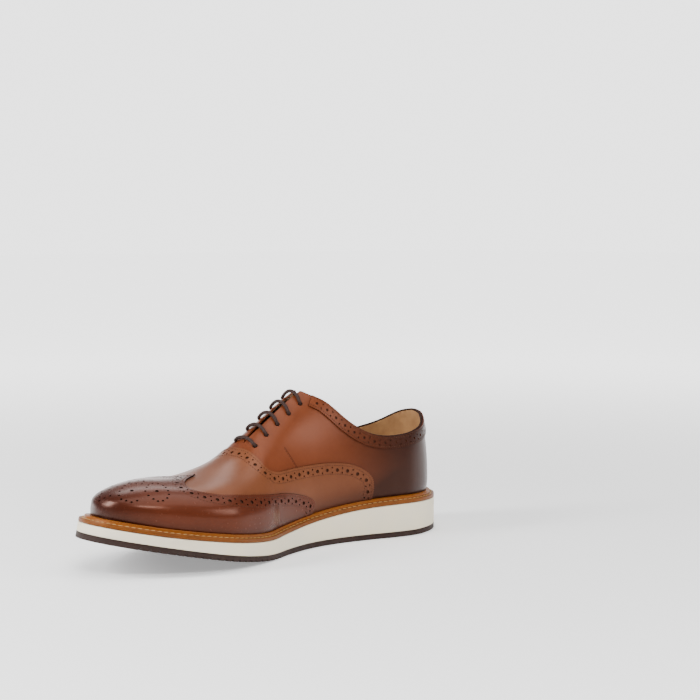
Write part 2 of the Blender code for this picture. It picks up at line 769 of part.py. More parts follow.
def tongue_depth(share, girth):
    """How deep the tongue lies below the last: room for the lace's hidden runs in its middle."""
    near = UPPER_WALL + TONGUE_GAP
    room = LACE_DIAMETER + LACE_GAP + CLEARANCE - TONGUE_GAP
    wide = EYELET_FROM_RIDGE + LACE_TRACK + LACE_DIAMETER
    side = np.clip((TONGUE_HALF - abs(girth)) / (TONGUE_HALF - wide), 0, 1)
    front = np.clip((TONGUE_FRONT - share) / (TONGUE_FRONT - SLIT_FRONT), 0, 1)
    ease = (3 - 2 * side) * side**2 * (3 - 2 * front) * front**2
    return near + room * ease


def build_tongue(look):
    bm = bmesh.new()
    low, high = [], []
    for share in np.linspace(TONGUE_FRONT, TONGUE_TOP, TONGUE_ROWS):
        low.append([])
        high.append([])
        end = (share - TONGUE_TOP) / (TONGUE_FRONT - TONGUE_TOP)
        half = TONGUE_HALF * (1 - TONGUE_TAPER * (1 - math.cos(math.pi / 2 * end)))
        for part in np.linspace(-1, 1, TONGUE_POINTS):
            girth = part * half
            depth = tongue_depth(share, girth)
            high[-1].append(bm.verts.new(girth_point(share, girth, -depth)[0]))
            low[-1].append(bm.verts.new(girth_point(share, girth, -depth - TONGUE_THICKNESS)[0]))
    bridge_grids(bm, low, high)
    make_object("tongue", bm, look)


# Lace

def hidden_level():
    """Height of the hidden runs' middle line over the last, which is negative."""
    return -UPPER_WALL - LACE_GAP - LACE_DIAMETER / 2


def lace_bend(hole, direction, upward):
    """Quarter turn from the eyelet's axis into a direction, above or below the facing."""
    middle, normal = hole
    direction = (direction - normal * direction.dot(normal)).normalized()
    level = LACE_DIAMETER / 2 + CLEARANCE if upward else hidden_level()
    away = 1 if upward else -1
    bend = []
    for angle in np.linspace(0, math.pi / 2, 4):
        out = LACE_BEND * (1 - math.cos(angle))
        lift = level - away * LACE_BEND * (1 - math.sin(angle))
        bend.append(middle + direction * out + normal * lift)
    return bend


def lace_bar(start_side, pair, holes):
    """Over the facings from one eyelet of a pair to the other, arched."""
    a, b = holes[start_side][pair], holes[-start_side][pair]
    first = lace_bend(a, b[0] - a[0], True)
    last = lace_bend(b, a[0] - b[0], True)
    share = np.linspace(EYELET_FRONT, EYELET_BACK, EYELET_PAIRS)[pair]
    low = LACE_DIAMETER / 2 + CLEARANCE
    arch = []
    for part in ARCH_STOPS:
        lift = low + (LACE_ARCH - low) * math.cos(part * math.pi / 2)
        arch.append(girth_point(share, start_side * part * EYELET_FROM_RIDGE, lift)[0])
    return first + arch + last[::-1]


def lace_run(side, start, end, track, holes):
    """Under the facing from one eyelet of a side to another, beside the eyelet line."""
    shares = np.linspace(EYELET_FRONT, EYELET_BACK, EYELET_PAIRS)
    girth = EYELET_FROM_RIDGE + track
    lead = LACE_LEAD / SOLE_LENGTH * (1 if shares[end] > shares[start] else -1)
    stops = np.linspace(shares[start] + lead, shares[end] - lead, 3 * abs(end - start))
    points = [girth_point(s, side * girth, hidden_level())[0] for s in stops]
    a, b = holes[side][start], holes[side][end]
    first = lace_bend(a, points[0] - a[0], False)
    last = lace_bend(b, points[-1] - b[0], False)
    return first + points + last[::-1]


def build_lace(look):
    """Parallel bars from eyelet to eyelet; both hidden ends stop at the top eyelets."""
    holes = eyelets()
    top = EYELET_PAIRS - 1
    to_heel = Vector((-1, 0, 0))
    inner, outer = -LACE_TRACK, LACE_TRACK
    beside = -(EYELET_FROM_RIDGE + outer)
    stops = (EYELET_BACK, EYELET_BACK + LACE_TAIL / SOLE_LENGTH)
    start = [girth_point(s, beside, hidden_level())[0] for s in stops]
    second = holes[-1][top - 1]
    start += lace_bend(second, start[-1] - second[0], False)[::-1]
    route = start + lace_bar(-1, top - 1, holes)
    route += lace_run(1, top - 1, 1, outer, holes)
    route += lace_bar(1, 1, holes)
    route += lace_run(-1, 1, 0, inner, holes)
    route += lace_bar(-1, 0, holes)
    route += lace_run(1, 0, 2, inner, holes)
    route += lace_bar(1, 2, holes)
    route += lace_run(-1, 2, top, inner, holes)
    route += lace_bar(-1, top, holes)
    route += lace_bend(holes[1][top], to_heel, False)
    curve = bpy.data.curves.new("lace", "CURVE")
    curve.dimensions = "3D"
    curve.bevel_depth = LACE_DIAMETER / 2
    curve.bevel_resolution = 2
    curve.use_fill_caps = True
    spline = curve.splines.new("POLY")
    spline.points.add(len(route) - 1)
    for point, where in zip(spline.points, route):
        point.co = (*where, 1.0)
    curve.materials.append(look)
    obj = bpy.data.objects.new("lace", curve)
    bpy.context.scene.collection.objects.link(obj)


def main():
    clear_scene()
    build_outsole(material("outsole_rubber", "3C2B28", 0.7))
    build_midsole(material("midsole_foam", "E6E1D6", 0.6))
    build_welt(material("welt_leather", "B1752F", 0.5))
    build_insole(material("insole_leather", "C9A377", 0.6))
    build_upper(material("quarter_leather", "8B4A2B", 0.35))
    build_overlay("vamp", VAMP_EDGE, 0, material("vamp_leather", "A9693C", 0.35))
    build_overlay("wing_cap", CAP_EDGE, 1, material("cap_leather", "6B3420", 0.3))
    build_collar_band(material("collar_leather", "84452A", 0.35))
    build_tongue(material("tongue_leather", "8A5231", 0.45))
    build_lace(material("lace_cotton", "4A2E2A", 0.6))


main()
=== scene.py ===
"""Look of a wingtip brogue oxford, the right shoe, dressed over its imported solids.

+X points to the toe, +Y to the medial side, +Z up. Lengths are metres.
"""

import math

import bmesh
import bpy
import numpy as np
from mathutils import Matrix, Vector


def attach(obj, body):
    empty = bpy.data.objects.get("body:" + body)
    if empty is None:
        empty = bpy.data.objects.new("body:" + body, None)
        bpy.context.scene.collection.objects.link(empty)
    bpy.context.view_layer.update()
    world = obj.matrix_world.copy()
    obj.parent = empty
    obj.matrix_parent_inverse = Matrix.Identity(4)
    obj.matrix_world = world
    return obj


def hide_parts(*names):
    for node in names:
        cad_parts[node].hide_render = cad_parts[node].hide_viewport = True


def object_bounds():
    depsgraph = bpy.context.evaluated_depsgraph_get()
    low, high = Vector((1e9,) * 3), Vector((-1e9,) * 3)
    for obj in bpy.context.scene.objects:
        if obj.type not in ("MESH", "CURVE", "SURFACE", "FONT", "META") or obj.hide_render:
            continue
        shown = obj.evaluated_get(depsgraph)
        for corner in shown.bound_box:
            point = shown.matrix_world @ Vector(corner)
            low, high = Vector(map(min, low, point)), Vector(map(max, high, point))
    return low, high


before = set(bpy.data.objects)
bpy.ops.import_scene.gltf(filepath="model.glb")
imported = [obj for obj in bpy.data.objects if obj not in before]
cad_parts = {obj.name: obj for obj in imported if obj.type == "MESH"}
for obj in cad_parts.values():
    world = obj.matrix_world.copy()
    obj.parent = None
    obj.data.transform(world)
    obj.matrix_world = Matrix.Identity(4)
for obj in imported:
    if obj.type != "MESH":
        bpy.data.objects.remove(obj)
CAD_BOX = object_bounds()

MM = 0.001
CLEARANCE = 0.3 * MM        # between pieces that rest on each other

# Sole
SOLE_LENGTH = 300 * MM
BALL_WIDTH = 109 * MM
WAIST_WIDTH = 70 * MM
HEEL_WIDTH = 77 * MM
HEEL_CENTRE = 38 * MM       # from the back of the sole to the origin
TOE_SPRING = 24 * MM
OUTSOLE_THICKNESS = 4.0 * MM
MIDSOLE_AT_HEEL = 20.0 * MM
MIDSOLE_AT_BALL = 9.3 * MM
RIB_PITCH = 5.4 * MM
GROOVE_WIDTH = 1.8 * MM
GROOVE_DEPTH = 1.3 * MM
GROOVE_MARGIN = 4.5 * MM
PLAIN_END = 2 * RIB_PITCH   # of the sole's underside, at the heel and at the toe

# Welt
WELT_THICKNESS = 3.0 * MM
WELT_SHOW = 7.5 * MM        # from the welt's edge to the foot of the upper
WELT_FLANGE = 3.2 * MM      # flat part outside the raised rib
WELT_RIB_HEIGHT = 2.0 * MM

# Upper
INSTEP_HEIGHT = 86 * MM     # above the welt, where the facings end
UPPER_WALL = 2.2 * MM
FEATHER_BULGE = 2.6 * MM    # how far the side swells past its foot
BULGE_HEIGHT = 11 * MM      # where that swelling is widest
OVERLAY = 1.0 * MM          # leather of cap, vamp and collar band
COLLAR_BAND_WIDTH = 9 * MM
SLIT_WIDTH = 6 * MM
SLIT_EASE = 4 * SLIT_WIDTH  # length over which the slit opens to its width

# Lacing
EYELET_PAIRS = 5
EYELET_FROM_RIDGE = 11.5 * MM
LACE_DIAMETER = 2.4 * MM
LACE_ARCH = 2.4 * MM        # middle line of a bar above the facings, halfway
LACE_BEND = 1.6 * MM        # bend radius of the lace's middle line at an eyelet
LACE_TRACK = 1.7 * MM       # hidden runs lie this far to either side of the eyelets
LACE_GAP = 0.8 * MM         # between the hidden runs and the facings over them
LACE_LEAD = 4.0 * MM        # from an eyelet's station to the first stop of a hidden run
LACE_TAIL = 6.0 * MM        # hidden end beside the top eyelet
TONGUE_THICKNESS = 2.0 * MM
TONGUE_HALF = 29 * MM
TONGUE_TAPER = 0.14         # share of that width missing at the tongue's front
TONGUE_GAP = 0.8 * MM       # between the tongue's edges and the upper

# Shares of the sole's length, from the back of the heel
RUN_OUT_FROM = 0.56         # tread grooves run out at the medial edge from here
RUN_OUT_TO = 0.93
SPRING_FROM = 0.56
SPRING_EASE = 0.25
HEEL_FAN = 0.125            # sections turn round the heel behind this
TOE_FAN = 0.86              # and round the toe in front of this
TOE_RAY = 0.18              # unrolled length of the toe's middle line
SLIT_FRONT = 0.573
EYELET_FRONT = 0.561
EYELET_BACK = 0.414
TONGUE_FRONT = 0.612
TONGUE_TOP = 0.392
COLLAR_FRONT = 0.376

# Detail that only the look has
QUARTER_LEATHER = 1.1 * MM
LINING_LEATHER = 1.0 * MM
EYELET_HOLE = 3.6 * MM
BINDING = 1.7 * MM
BINDING_FRONT = 0.398       # share where the rolled edge starts at the facings
BROGUE_PITCH = 8.7 * MM
BROGUE_START = 3.5 * MM     # first big hole from the ridge
BROGUE_INSET = 5.2 * MM     # row of big holes behind the pinked edge
BIG_HOLE = 2.6 * MM
SMALL_HOLE = 1.3 * MM
SMALL_HOLE_OFFSET = 1.7 * MM
GIMP_PITCH = 1.65 * MM
GIMP_DEPTH = 0.6 * MM
EDGE_STITCH = 1.9 * MM      # stitch row behind the pinked edge
INNER_STITCH = 2 * BROGUE_INSET - EDGE_STITCH - 0.4 * MM
SEAM_STEP = 1.2 * MM
SEAM_WIDTH = 0.44 * MM
STITCH_PITCH = 2.1 * MM
STITCH_LENGTH = 1.6 * MM
THREAD = 0.42 * MM
BACKING_WIDTH = 5.5 * MM
BAND_FRONT = 0.380          # share where the collar band ends
BAND_HOLE = 2.1 * MM
BAND_MIDDLE = 0.52          # of the band's width from the collar edge: its holes
BAND_STITCHES = (0.14, 0.82)
BAND_BACKING = 0.55 * COLLAR_BAND_WIDTH
MEDALLION_BIG = 2.6 * MM
MEDALLION_SMALL = 1.6 * MM
LINING_BACK = 2.5 * MM      # lining held back from the edge of the lace slit
CAP_LIFT = 1.6 * MM         # underside of the cap over the last
ORNAMENT_BACK = 0.846       # leather behind the toe ornament's holes: share at its back
ORNAMENT_LENGTH = 0.165
ORNAMENT_HALF = 0.70
MIDDLE_END = 20 * MM
MIDSOLE_MARGIN = 14 * MM
WELT_PITCH = 4.2 * MM
WELT_STITCH = 3.4 * MM
WELT_THREAD = 0.9 * MM
LACE_LEVEL = LACE_DIAMETER / 2 + 0.1 * MM    # middle line over the facings, and hidden under them
HIDDEN_LEVEL = -UPPER_WALL - LACE_GAP - LACE_DIAMETER / 2
BACKING = 0.1 * MM           # dark strip behind punched holes: a backing, coloured dark as painted shade inside the holes
BACKING_LEVEL = -0.14 * MM  # of its underside, from the leather's
OUTLINE_STEPS = 10
RING_STEPS = 16             # the same for the pieces of the sole
SLOPE_STEP = 0.5 * MM
MERGE = 0.003 * MM
LACE_TURNS = 420.0          # turns of the braid's strands over the lace's length
LACE_STRANDS = 6.0
FLOOR_HALF = 12.0
NEAR_GLOW = 0.35            # painted light, the floor's own glow: at the shoe, and away from it
FLOOR_GLOW = 2.4
BACK_GLOW = 2.5             # of the surround behind the shoe, low over the floor
SURROUND = 0.33
BEHIND = (-0.656, -0.755, 0.0)

# Sole outline: share along, the width that the row follows, medial and lateral share of it
SOLE_ROWS = (
    (0.000, HEEL_WIDTH, 0.000, 0.000), (0.012, HEEL_WIDTH, 0.185, 0.170),
    (0.040, HEEL_WIDTH, 0.330, 0.305), (0.080, HEEL_WIDTH, 0.445, 0.415),
    (0.140, HEEL_WIDTH, 0.515, 0.495), (0.200, HEEL_WIDTH, 0.490, 0.512),
    (0.270, WAIST_WIDTH, 0.462, 0.576), (0.340, WAIST_WIDTH, 0.405, 0.580),
    (0.410, WAIST_WIDTH, 0.390, 0.597), (0.470, WAIST_WIDTH, 0.424, 0.630),
    (0.530, BALL_WIDTH, 0.322, 0.438), (0.600, BALL_WIDTH, 0.402, 0.492),
    (0.660, BALL_WIDTH, 0.448, 0.518), (0.720, BALL_WIDTH, 0.475, 0.521),
    (0.780, BALL_WIDTH, 0.457, 0.486), (0.840, BALL_WIDTH, 0.415, 0.428),
    (0.900, BALL_WIDTH, 0.349, 0.354), (0.950, BALL_WIDTH, 0.262, 0.265),
    (0.985, BALL_WIDTH, 0.152, 0.154), (1.000, BALL_WIDTH, 0.000, 0.000),
)

# Midsole thickness: share along, share of the way from the ball's to the heel's thickness
WEDGE_ROWS = (
    (0.00, 0.88), (0.15, 1.00), (0.30, 0.84), (0.42, 0.48), (0.52, 0.19),
    (0.62, 0.02), (0.72, -0.08), (0.86, -0.24), (1.00, -0.29),
)

# Sections of the last: share along, crown as share of the instep height, fullness of the side,
# fullness of the crown, ridge towards the medial side as share of the ball, inset as share of WELT_SHOW
LAST_ROWS = (
    (0.00, 1.100, 2.20, 2.00, 0.000, 1.00), (0.12, 1.120, 2.20, 2.00, 0.000, 1.00),
    (0.25, 1.110, 2.10, 1.90, 0.010, 1.00), (0.36, 1.045, 1.90, 1.80, 0.020, 1.00),
    (0.44, 0.935, 1.80, 1.70, 0.030, 1.02), (0.52, 0.783, 1.80, 1.70, 0.040, 1.06),
    (0.60, 0.612, 1.90, 1.80, 0.045, 1.12), (0.68, 0.470, 2.05, 2.00, 0.040, 1.18),
    (0.75, 0.382, 2.20, 2.05, 0.025, 1.22), (0.83, 0.335, 2.20, 2.10, 0.010, 1.26),
    (0.90, 0.292, 2.15, 2.00, 0.000, 1.36), (1.00, 0.200, 2.05, 1.90, 0.000, 1.52),
)

# Collar edge: share of the section, medial and lateral height as share of the instep height
TOPLINE_ROWS = (
    (0.000, 0.705, 0.705), (0.035, 0.682, 0.678), (0.080, 0.610, 0.595),
    (0.125, 0.560, 0.535), (0.180, 0.535, 0.500), (0.243, 0.560, 0.525),
    (0.282, 0.635, 0.605), (0.321, 0.760, 0.740), (0.355, 0.886, 0.875),
    (0.385, 0.957, 0.955), (0.405, 1.020, 1.020), (0.440, 1.200, 1.200),
)

# Pattern lines: share along, share of the girth from the ridge (0) to the foot of the upper (1)
CAP_EDGE = (
    (0.738, 0.000), (0.768, 0.080), (0.797, 0.215), (0.809, 0.320), (0.811, 0.400),
    (0.804, 0.460), (0.786, 0.512), (0.752, 0.556), (0.705, 0.582), (0.645, 0.602),
    (0.582, 0.639), (0.527, 0.693), (0.478, 0.763), (0.448, 0.814), (0.429, 0.861),
    (0.424, 0.905), (0.432, 0.960), (0.440, 1.080),
)
VAMP_EDGE = (
    (0.594, 0.000), (0.590, 0.100), (0.582, 0.280), (0.569, 0.398), (0.537, 0.490),
    (0.478, 0.548), (0.424, 0.597), (0.365, 0.647), (0.311, 0.702), (0.277, 0.760),
    (0.257, 0.818), (0.252, 0.891), (0.257, 0.990), (0.262, 1.080),
)

DART = ((0.492, 0.345), (0.486, 0.400), (0.479, 0.460), (0.470, 0.530), (0.466, 0.556))

# Toe medallion, medial half: along and across on the pattern, and whether the hole is a big one
MEDALLION = (
    (0.886, 0.432, 1), (0.934, 0.244, 1),
    (0.898, 0.288, 0), (0.888, 0.236, 0), (0.874, 0.205, 0), (0.864, 0.240, 0), (0.860, 0.306, 0),
    (0.860, 0.372, 0), (0.862, 0.452, 0), (0.866, 0.524, 0), (0.874, 0.580, 0), (0.886, 0.610, 0),
    (0.898, 0.600, 0), (0.906, 0.552, 0), (0.912, 0.472, 0), (0.910, 0.368, 0),
    (0.896, 0.144, 0), (0.904, 0.080, 0), (0.912, 0.024, 0), (0.926, 0.000, 0), (0.940, 0.058, 0),
    (0.954, 0.124, 0), (0.966, 0.215, 0), (0.970, 0.308, 0), (0.964, 0.376, 0), (0.956, 0.444, 0),
    (0.943, 0.475, 0), (0.978, 0.108, 0), (0.988, 0.060, 0), (0.995, 0.000, 0),
    (0.882, 0.062, 0), (0.874, 0.000, 0),
)

# Curves and tables

def catmull(points, count, closed):
    """A smooth curve through the points, with count steps between neighbours."""
    p = np.asarray(points, float)
    if not closed:
        p = np.vstack([2 * p[0] - p[1], p, 2 * p[-1] - p[-2]])
    total = len(p)
    spans = range(total) if closed else range(1, total - 2)
    curve = []
    for i in spans:
        p0, p1, p2, p3 = p[i - 1], p[i], p[(i + 1) % total], p[(i + 2) % total]
        d0 = max(np.linalg.norm(p1 - p0), 1e-9) ** 0.5
        d1 = max(np.linalg.norm(p2 - p1), 1e-9) ** 0.5
        d2 = max(np.linalg.norm(p3 - p2), 1e-9) ** 0.5
        m1 = (p2 - p1) + d1 * ((p1 - p0) / d0 - (p2 - p0) / (d0 + d1))
        m2 = (p2 - p1) + d1 * ((p3 - p2) / d2 - (p3 - p1) / (d1 + d2))
        for t in np.linspace(0, 1, count, endpoint=False):
            ease = t * t * (3 - 2 * t)
            curve.append(p1 + ease * (p2 - p1) + t * (1 - t) * ((1 - t) * m1 - t * m2))
    if not closed:
        curve.append(p[-2])
    return np.array(curve)


def read_rows(rows, column, share):
    """Natural cubic spline through one column of a table, read at a share along."""
    xs = np.array([row[0] for row in rows], float)
    ys = np.array([row[column] for row in rows], float)
    n = len(xs)
    h = np.diff(xs)
    a = np.zeros((n, n))
    b = np.zeros(n)
    a[0, 0] = a[-1, -1] = 1
    for i in range(1, n - 1):
        a[i, i - 1:i + 2] = h[i - 1], 2 * (h[i - 1] + h[i]), h[i]
        b[i] = 3 * ((ys[i + 1] - ys[i]) / h[i] - (ys[i] - ys[i - 1]) / h[i - 1])
    c = np.linalg.solve(a, b)
    share = np.clip(np.asarray(share, float), xs[0], xs[-1])
    k = np.clip(np.searchsorted(xs, share, side="right") - 1, 0, n - 2)
    t = share - xs[k]
    d = (c[k + 1] - c[k]) / (3 * h[k])
    slope = (ys[k + 1] - ys[k]) / h[k] - h[k] * (2 * c[k] + c[k + 1]) / 3
    return ys[k] + slope * t + c[k] * t**2 + d * t**3


def unit(vectors):
    return vectors / np.linalg.norm(vectors, axis=-1)[..., None]


def arc_lengths(points):
    """Length of a path up to each of its points."""
    return np.concatenate([[0], np.cumsum(np.linalg.norm(np.diff(points, axis=0), axis=1))])


def read_path(wanted, lengths, path):
    """The path at some lengths along it."""
    return np.stack([np.interp(wanted, lengths, column) for column in path.T], axis=1)


def smooth(low, high, value):
    """Ease from 0 to 1 between two values, of which the first may be the higher."""
    t = np.clip((value - low) / (high - low), 0, 1)
    return t * t * (3 - 2 * t)


def place(share):
    """World x of a share along the sole."""
    return share * SOLE_LENGTH - HEEL_CENTRE


def share_at(x):
    return (np.asarray(x, float) + HEEL_CENTRE) / SOLE_LENGTH


# Sole profile

def sole_outline(count):
    medial = [(place(s), width * m) for s, width, m, _ in SOLE_ROWS]
    lateral = [(place(s), -width * l) for s, width, _, l in SOLE_ROWS]
    return catmull(medial + lateral[-2:0:-1], count, True)


def inset(loop, distance):
    """The outline moved inwards by a distance, or by one distance for each point."""
    ahead = unit(np.roll(loop, -1, axis=0) - np.roll(loop, 1, axis=0))
    inward = np.stack([ahead[:, 1], -ahead[:, 0]], axis=1)
    return loop + inward * np.broadcast_to(distance, len(loop))[:, None]


def reach(loop, x, y, dx, dy):
    """Distance from a point inside the loop to it, along a direction."""
    ahead = np.roll(loop, -1, axis=0)
    side_a = (loop[:, 1] - y) * dx - (loop[:, 0] - x) * dy
    side_b = (ahead[:, 1] - y) * dx - (ahead[:, 0] - x) * dy
    hit = (side_a * side_b <= 0) & (side_a != side_b)
    t = side_a[hit] / (side_a[hit] - side_b[hit])
    crossing = loop[hit] + t[:, None] * (ahead[hit] - loop[hit])
    distance = (crossing[:, 0] - x) * dx + (crossing[:, 1] - y) * dy
    return float(distance.max())


def ground(x):
    """Height of the sole's underside over the floor: flat, then the toe spring."""
    t = np.clip((share_at(x) - SPRING_FROM) / (1 - SPRING_FROM), 0, None)
    full = math.sqrt(1 + SPRING_EASE**2) - SPRING_EASE
    return TOE_SPRING * (np.sqrt(t**2 + SPRING_EASE**2) - SPRING_EASE) / full


def tilt(x):
    rise = ground(x + SLOPE_STEP) - ground(x - SLOPE_STEP)
    return np.arctan(rise / (2 * SLOPE_STEP))


def stack_point(x, y, height):
    """A point at a height over the sole's underside, square to it."""
    angle = tilt(x)
    return np.stack([x - height * np.sin(angle), y + 0 * x, ground(x) + height * np.cos(angle)], axis=-1)


def midsole_top(x):
    wedge = read_rows(WEDGE_ROWS, 1, share_at(x))
    return OUTSOLE_THICKNESS + MIDSOLE_AT_BALL + (MIDSOLE_AT_HEEL - MIDSOLE_AT_BALL) * wedge


def welt_top(x):
    return midsole_top(x) + WELT_THICKNESS


def upper_inset(x):
    return WELT_SHOW * read_rows(LAST_ROWS, 5, share_at(x))


# Last surface

OUTLINE = sole_outline(OUTLINE_STEPS)
FEATHER = inset(OUTLINE, upper_inset(OUTLINE[:, 0]))


def ridge(x):
    """Sideways place of the crown."""
    middle = (reach(FEATHER, x, 0, 0, 1) - reach(FEATHER, x, 0, 0, -1)) / 2
    return middle + BALL_WIDTH * float(read_rows(LAST_ROWS, 4, share_at(x)))


def section(share, side):
    """Centre, direction and reach of the section at a share along: fans at heel and toe."""
    if share < HEEL_FAN:
        x = place(HEEL_FAN)
        angle = math.pi * (1 - 0.5 * share / HEEL_FAN)
    elif share > TOE_FAN:
        x = place(TOE_FAN)
        angle = math.pi / 2 * (1 - share) / (1 - TOE_FAN)
    else:
        x = place(share)
        angle = math.pi / 2
    y = ridge(x)
    dx, dy = math.cos(angle), side * math.sin(angle)
    return x, y, dx, dy, reach(FEATHER, x, y, dx, dy)


def skin(row, turn):
    """Points of the last on one section: turn 0 at the foot, 1 at the widest, 2 at the crown."""
    x0, y0, dx, dy, foot = row
    turn = np.asarray(turn, float)
    low = np.clip(turn, 0, 1) * math.pi / 2
    high = np.clip(turn - 1, 0, 1) * math.pi / 2
    fullness = read_rows(LAST_ROWS, 2, share_at(x0 + dx * foot))
    crown_fullness = read_rows(LAST_ROWS, 3, share_at(x0 + dx * foot))
    out = np.where(turn <= 1, foot + FEATHER_BULGE * np.sin(low),
                   (foot + FEATHER_BULGE) * np.cos(high) ** (2 / fullness))
    x = x0 + dx * out
    y = y0 + dy * out
    crown = INSTEP_HEIGHT * read_rows(LAST_ROWS, 1, share_at(x))
    height = np.where(turn <= 1, BULGE_HEIGHT * (1 - np.cos(low)),
                      BULGE_HEIGHT + (crown - BULGE_HEIGHT) * np.sin(high) ** (2 / crown_fullness))
    return stack_point(x, y, welt_top(x) + height)


# The last as a grid, read by place on the unrolled pattern

STATIONS = 361
SHARES = np.linspace(0, 1, STATIONS)
EYELET_SHARES = np.linspace(EYELET_FRONT, EYELET_BACK, EYELET_PAIRS)
GIRTHS = 141
FOOT = 0.985                # girth share where the overlays end, behind the welt's rib
FINE_TURNS = np.linspace(2, 0, 241)


def collar_girth(share, side, line, lengths):
    """Girth from the ridge at which the collar or the lace slit cuts a section off."""
    if share >= SLIT_FRONT:
        return 0.0
    opening = min(1, math.sqrt((SLIT_FRONT - share) * SOLE_LENGTH / SLIT_EASE))
    girth = opening * SLIT_WIDTH / 2
    wanted = INSTEP_HEIGHT * float(read_rows(TOPLINE_ROWS, 1 if side > 0 else 2, share))
    angle = tilt(line[:, 0])
    heights = (line[:, 2] - ground(line[:, 0])) / np.cos(angle) - welt_top(line[:, 0])
    if heights[0] > wanted:
        girth = max(girth, float(np.interp(wanted, heights[::-1], lengths[::-1])))
    return girth


def padded(grid):
    """The grid with two stations more at heel and toe, from the other side, and rows at ridge and foot."""
    other = grid[::-1]
    grid = np.concatenate([other[:, 2:0:-1], grid, other[:, -2:-4:-1]], axis=1)
    low = 2 * grid[:, :, :1] - grid[:, :, 1:2]
    high = 2 * grid[:, :, -1:] - grid[:, :, -2:-1]
    return np.concatenate([low, grid, high], axis=2)


def measure_last():
    """Points, normals, full girth and collar girth of both sides at every station."""
    points = np.zeros((2, STATIONS, GIRTHS, 3))
    full = np.zeros((2, STATIONS))
    collar = np.zeros((2, STATIONS))
    for k, side in enumerate((1, -1)):
        for i, share in enumerate(SHARES):
            line = skin(section(share, side), FINE_TURNS)
            lengths = arc_lengths(line)
            points[k, i] = read_path(np.linspace(0, lengths[-1], GIRTHS), lengths, line)
            full[k, i] = lengths[-1]
            collar[k, i] = collar_girth(share, side, line, lengths)
    normals = np.cross(np.gradient(points, axis=1), np.gradient(points, axis=2))
    normals[1] *= -1
    normals[:, :, 0] = normals[:, :, 1]
    normals = unit(normals)
    fan = int(TOE_FAN * (STATIONS - 1)) + 1
    normals[:, :fan, 0] = normals[:, :fan, 0].mean(axis=0)
    normals[:, fan:, 0] = normals[:, fan:, 0].mean(axis=(0, 1))
    return padded(points), padded(normals), full, collar


POINTS, NORMALS, FULL_GIRTH, COLLAR_GIRTH = measure_last()


def cubic(grid, side, station, row):
    """Catmull-Rom reading of a padded grid."""
    total = 0
    i = np.clip(np.floor(station).astype(int), 0, STATIONS - 2)
    j = np.clip(np.floor(row).astype(int), 0, GIRTHS - 2)
    taps = []
    for t in (station - i, row - j):
        taps.append((-t**3 + 2 * t**2 - t, 3 * t**3 - 5 * t**2 + 2, -3 * t**3 + 4 * t**2 + t, t**3 - t**2))
    for a, along in enumerate(taps[0]):
        for b, across in enumerate(taps[1]):
            total = total + (along * across / 4)[:, None] * grid[side, i + a + 1, j + b]
    return total


def on_last(flat, lift=0.0):
    """Points and normals over the last for places (along, across) on the unrolled pattern.

    Across is the girth's share from the ridge, negative on the lateral side. In front of
    the toe's centre the pattern is polar, so it stays whole over the toe.
    """
    along, across = np.atleast_2d(flat).T
    ahead = (along - TOE_FAN) / TOE_RAY
    round_toe = 1 - np.arctan2(np.abs(across), ahead) * 2 / math.pi
    share = np.where(ahead > 0, TOE_FAN + (1 - TOE_FAN) * round_toe, along)
    girth = np.where(ahead > 0, np.hypot(ahead, across), np.abs(across))
    place_on = ((across < 0).astype(int), share * (STATIONS - 1), np.clip(girth, 0, 1) * (GIRTHS - 1))
    normal = unit(cubic(NORMALS, *place_on))
    return cubic(POINTS, *place_on) + normal * np.reshape(lift, (-1, 1)), normal


def step_along(line, spacing, start=0.0, lift=0.0):
    """Places at even steps along a pattern line, measured on the last."""
    points, _ = on_last(line, lift)
    lengths = arc_lengths(points)
    return read_path(np.arange(start, lengths[-1], spacing), lengths, line)


def headings(line):
    """Points, normals, directions of travel and directions to the right of a pattern line."""
    points, normals = on_last(line)
    ahead = np.gradient(points, axis=0)
    ahead = unit(ahead - normals * np.sum(ahead * normals, axis=1)[:, None])
    return points, normals, ahead, np.cross(ahead, normals)


def beside(line, distance, steps=3):
    """The line moved to its right over the last's surface."""
    for _ in range(steps):
        right = headings(line)[3] * distance / steps
        nudge = 0.001
        slopes = [(on_last(line + d)[0] - on_last(line - d)[0]) / (2 * nudge)
                  for d in (np.array((nudge, 0)), np.array((0, nudge)))]
        aa, ac, cc = (np.sum(p * q, axis=1) for p, q in
                      ((slopes[0], slopes[0]), (slopes[0], slopes[1]), (slopes[1], slopes[1])))
        ra, rc = (np.sum(right * s, axis=1) for s in slopes)
        size = aa * cc - ac**2
        line = line + np.stack([(ra * cc - rc * ac) / size, (rc * aa - ra * ac) / size], axis=1)
    return line


def half_line(rows):
    """Medial half of a pattern line from the ridge to the foot, finely stepped."""
    line = catmull(rows, 24, False)
    return line[line[:, 1] <= FOOT]


def offset_half(rows, distance):
    """Medial half of a line moved forward by a distance, with what folds back on itself left out."""
    half = half_line(rows)
    edge, _ = on_last(half)
    moved = beside(half, distance)
    points, _ = on_last(moved)
    nearest = np.array([np.linalg.norm(edge - p, axis=1).min() for p in points])
    keep = (nearest > 0.93 * distance) & (moved[:, 1] >= 0) & (moved[:, 1] < FOOT)
    return moved[keep]


def whole_line(rows, distance=0.0):
    """Pattern line from the lateral foot over the ridge to the medial foot, moved forward by a distance."""
    half = offset_half(rows, distance) if distance else half_line(rows)
    return np.vstack([half[::-1] * (1, -1), half])


# Mesh helpers

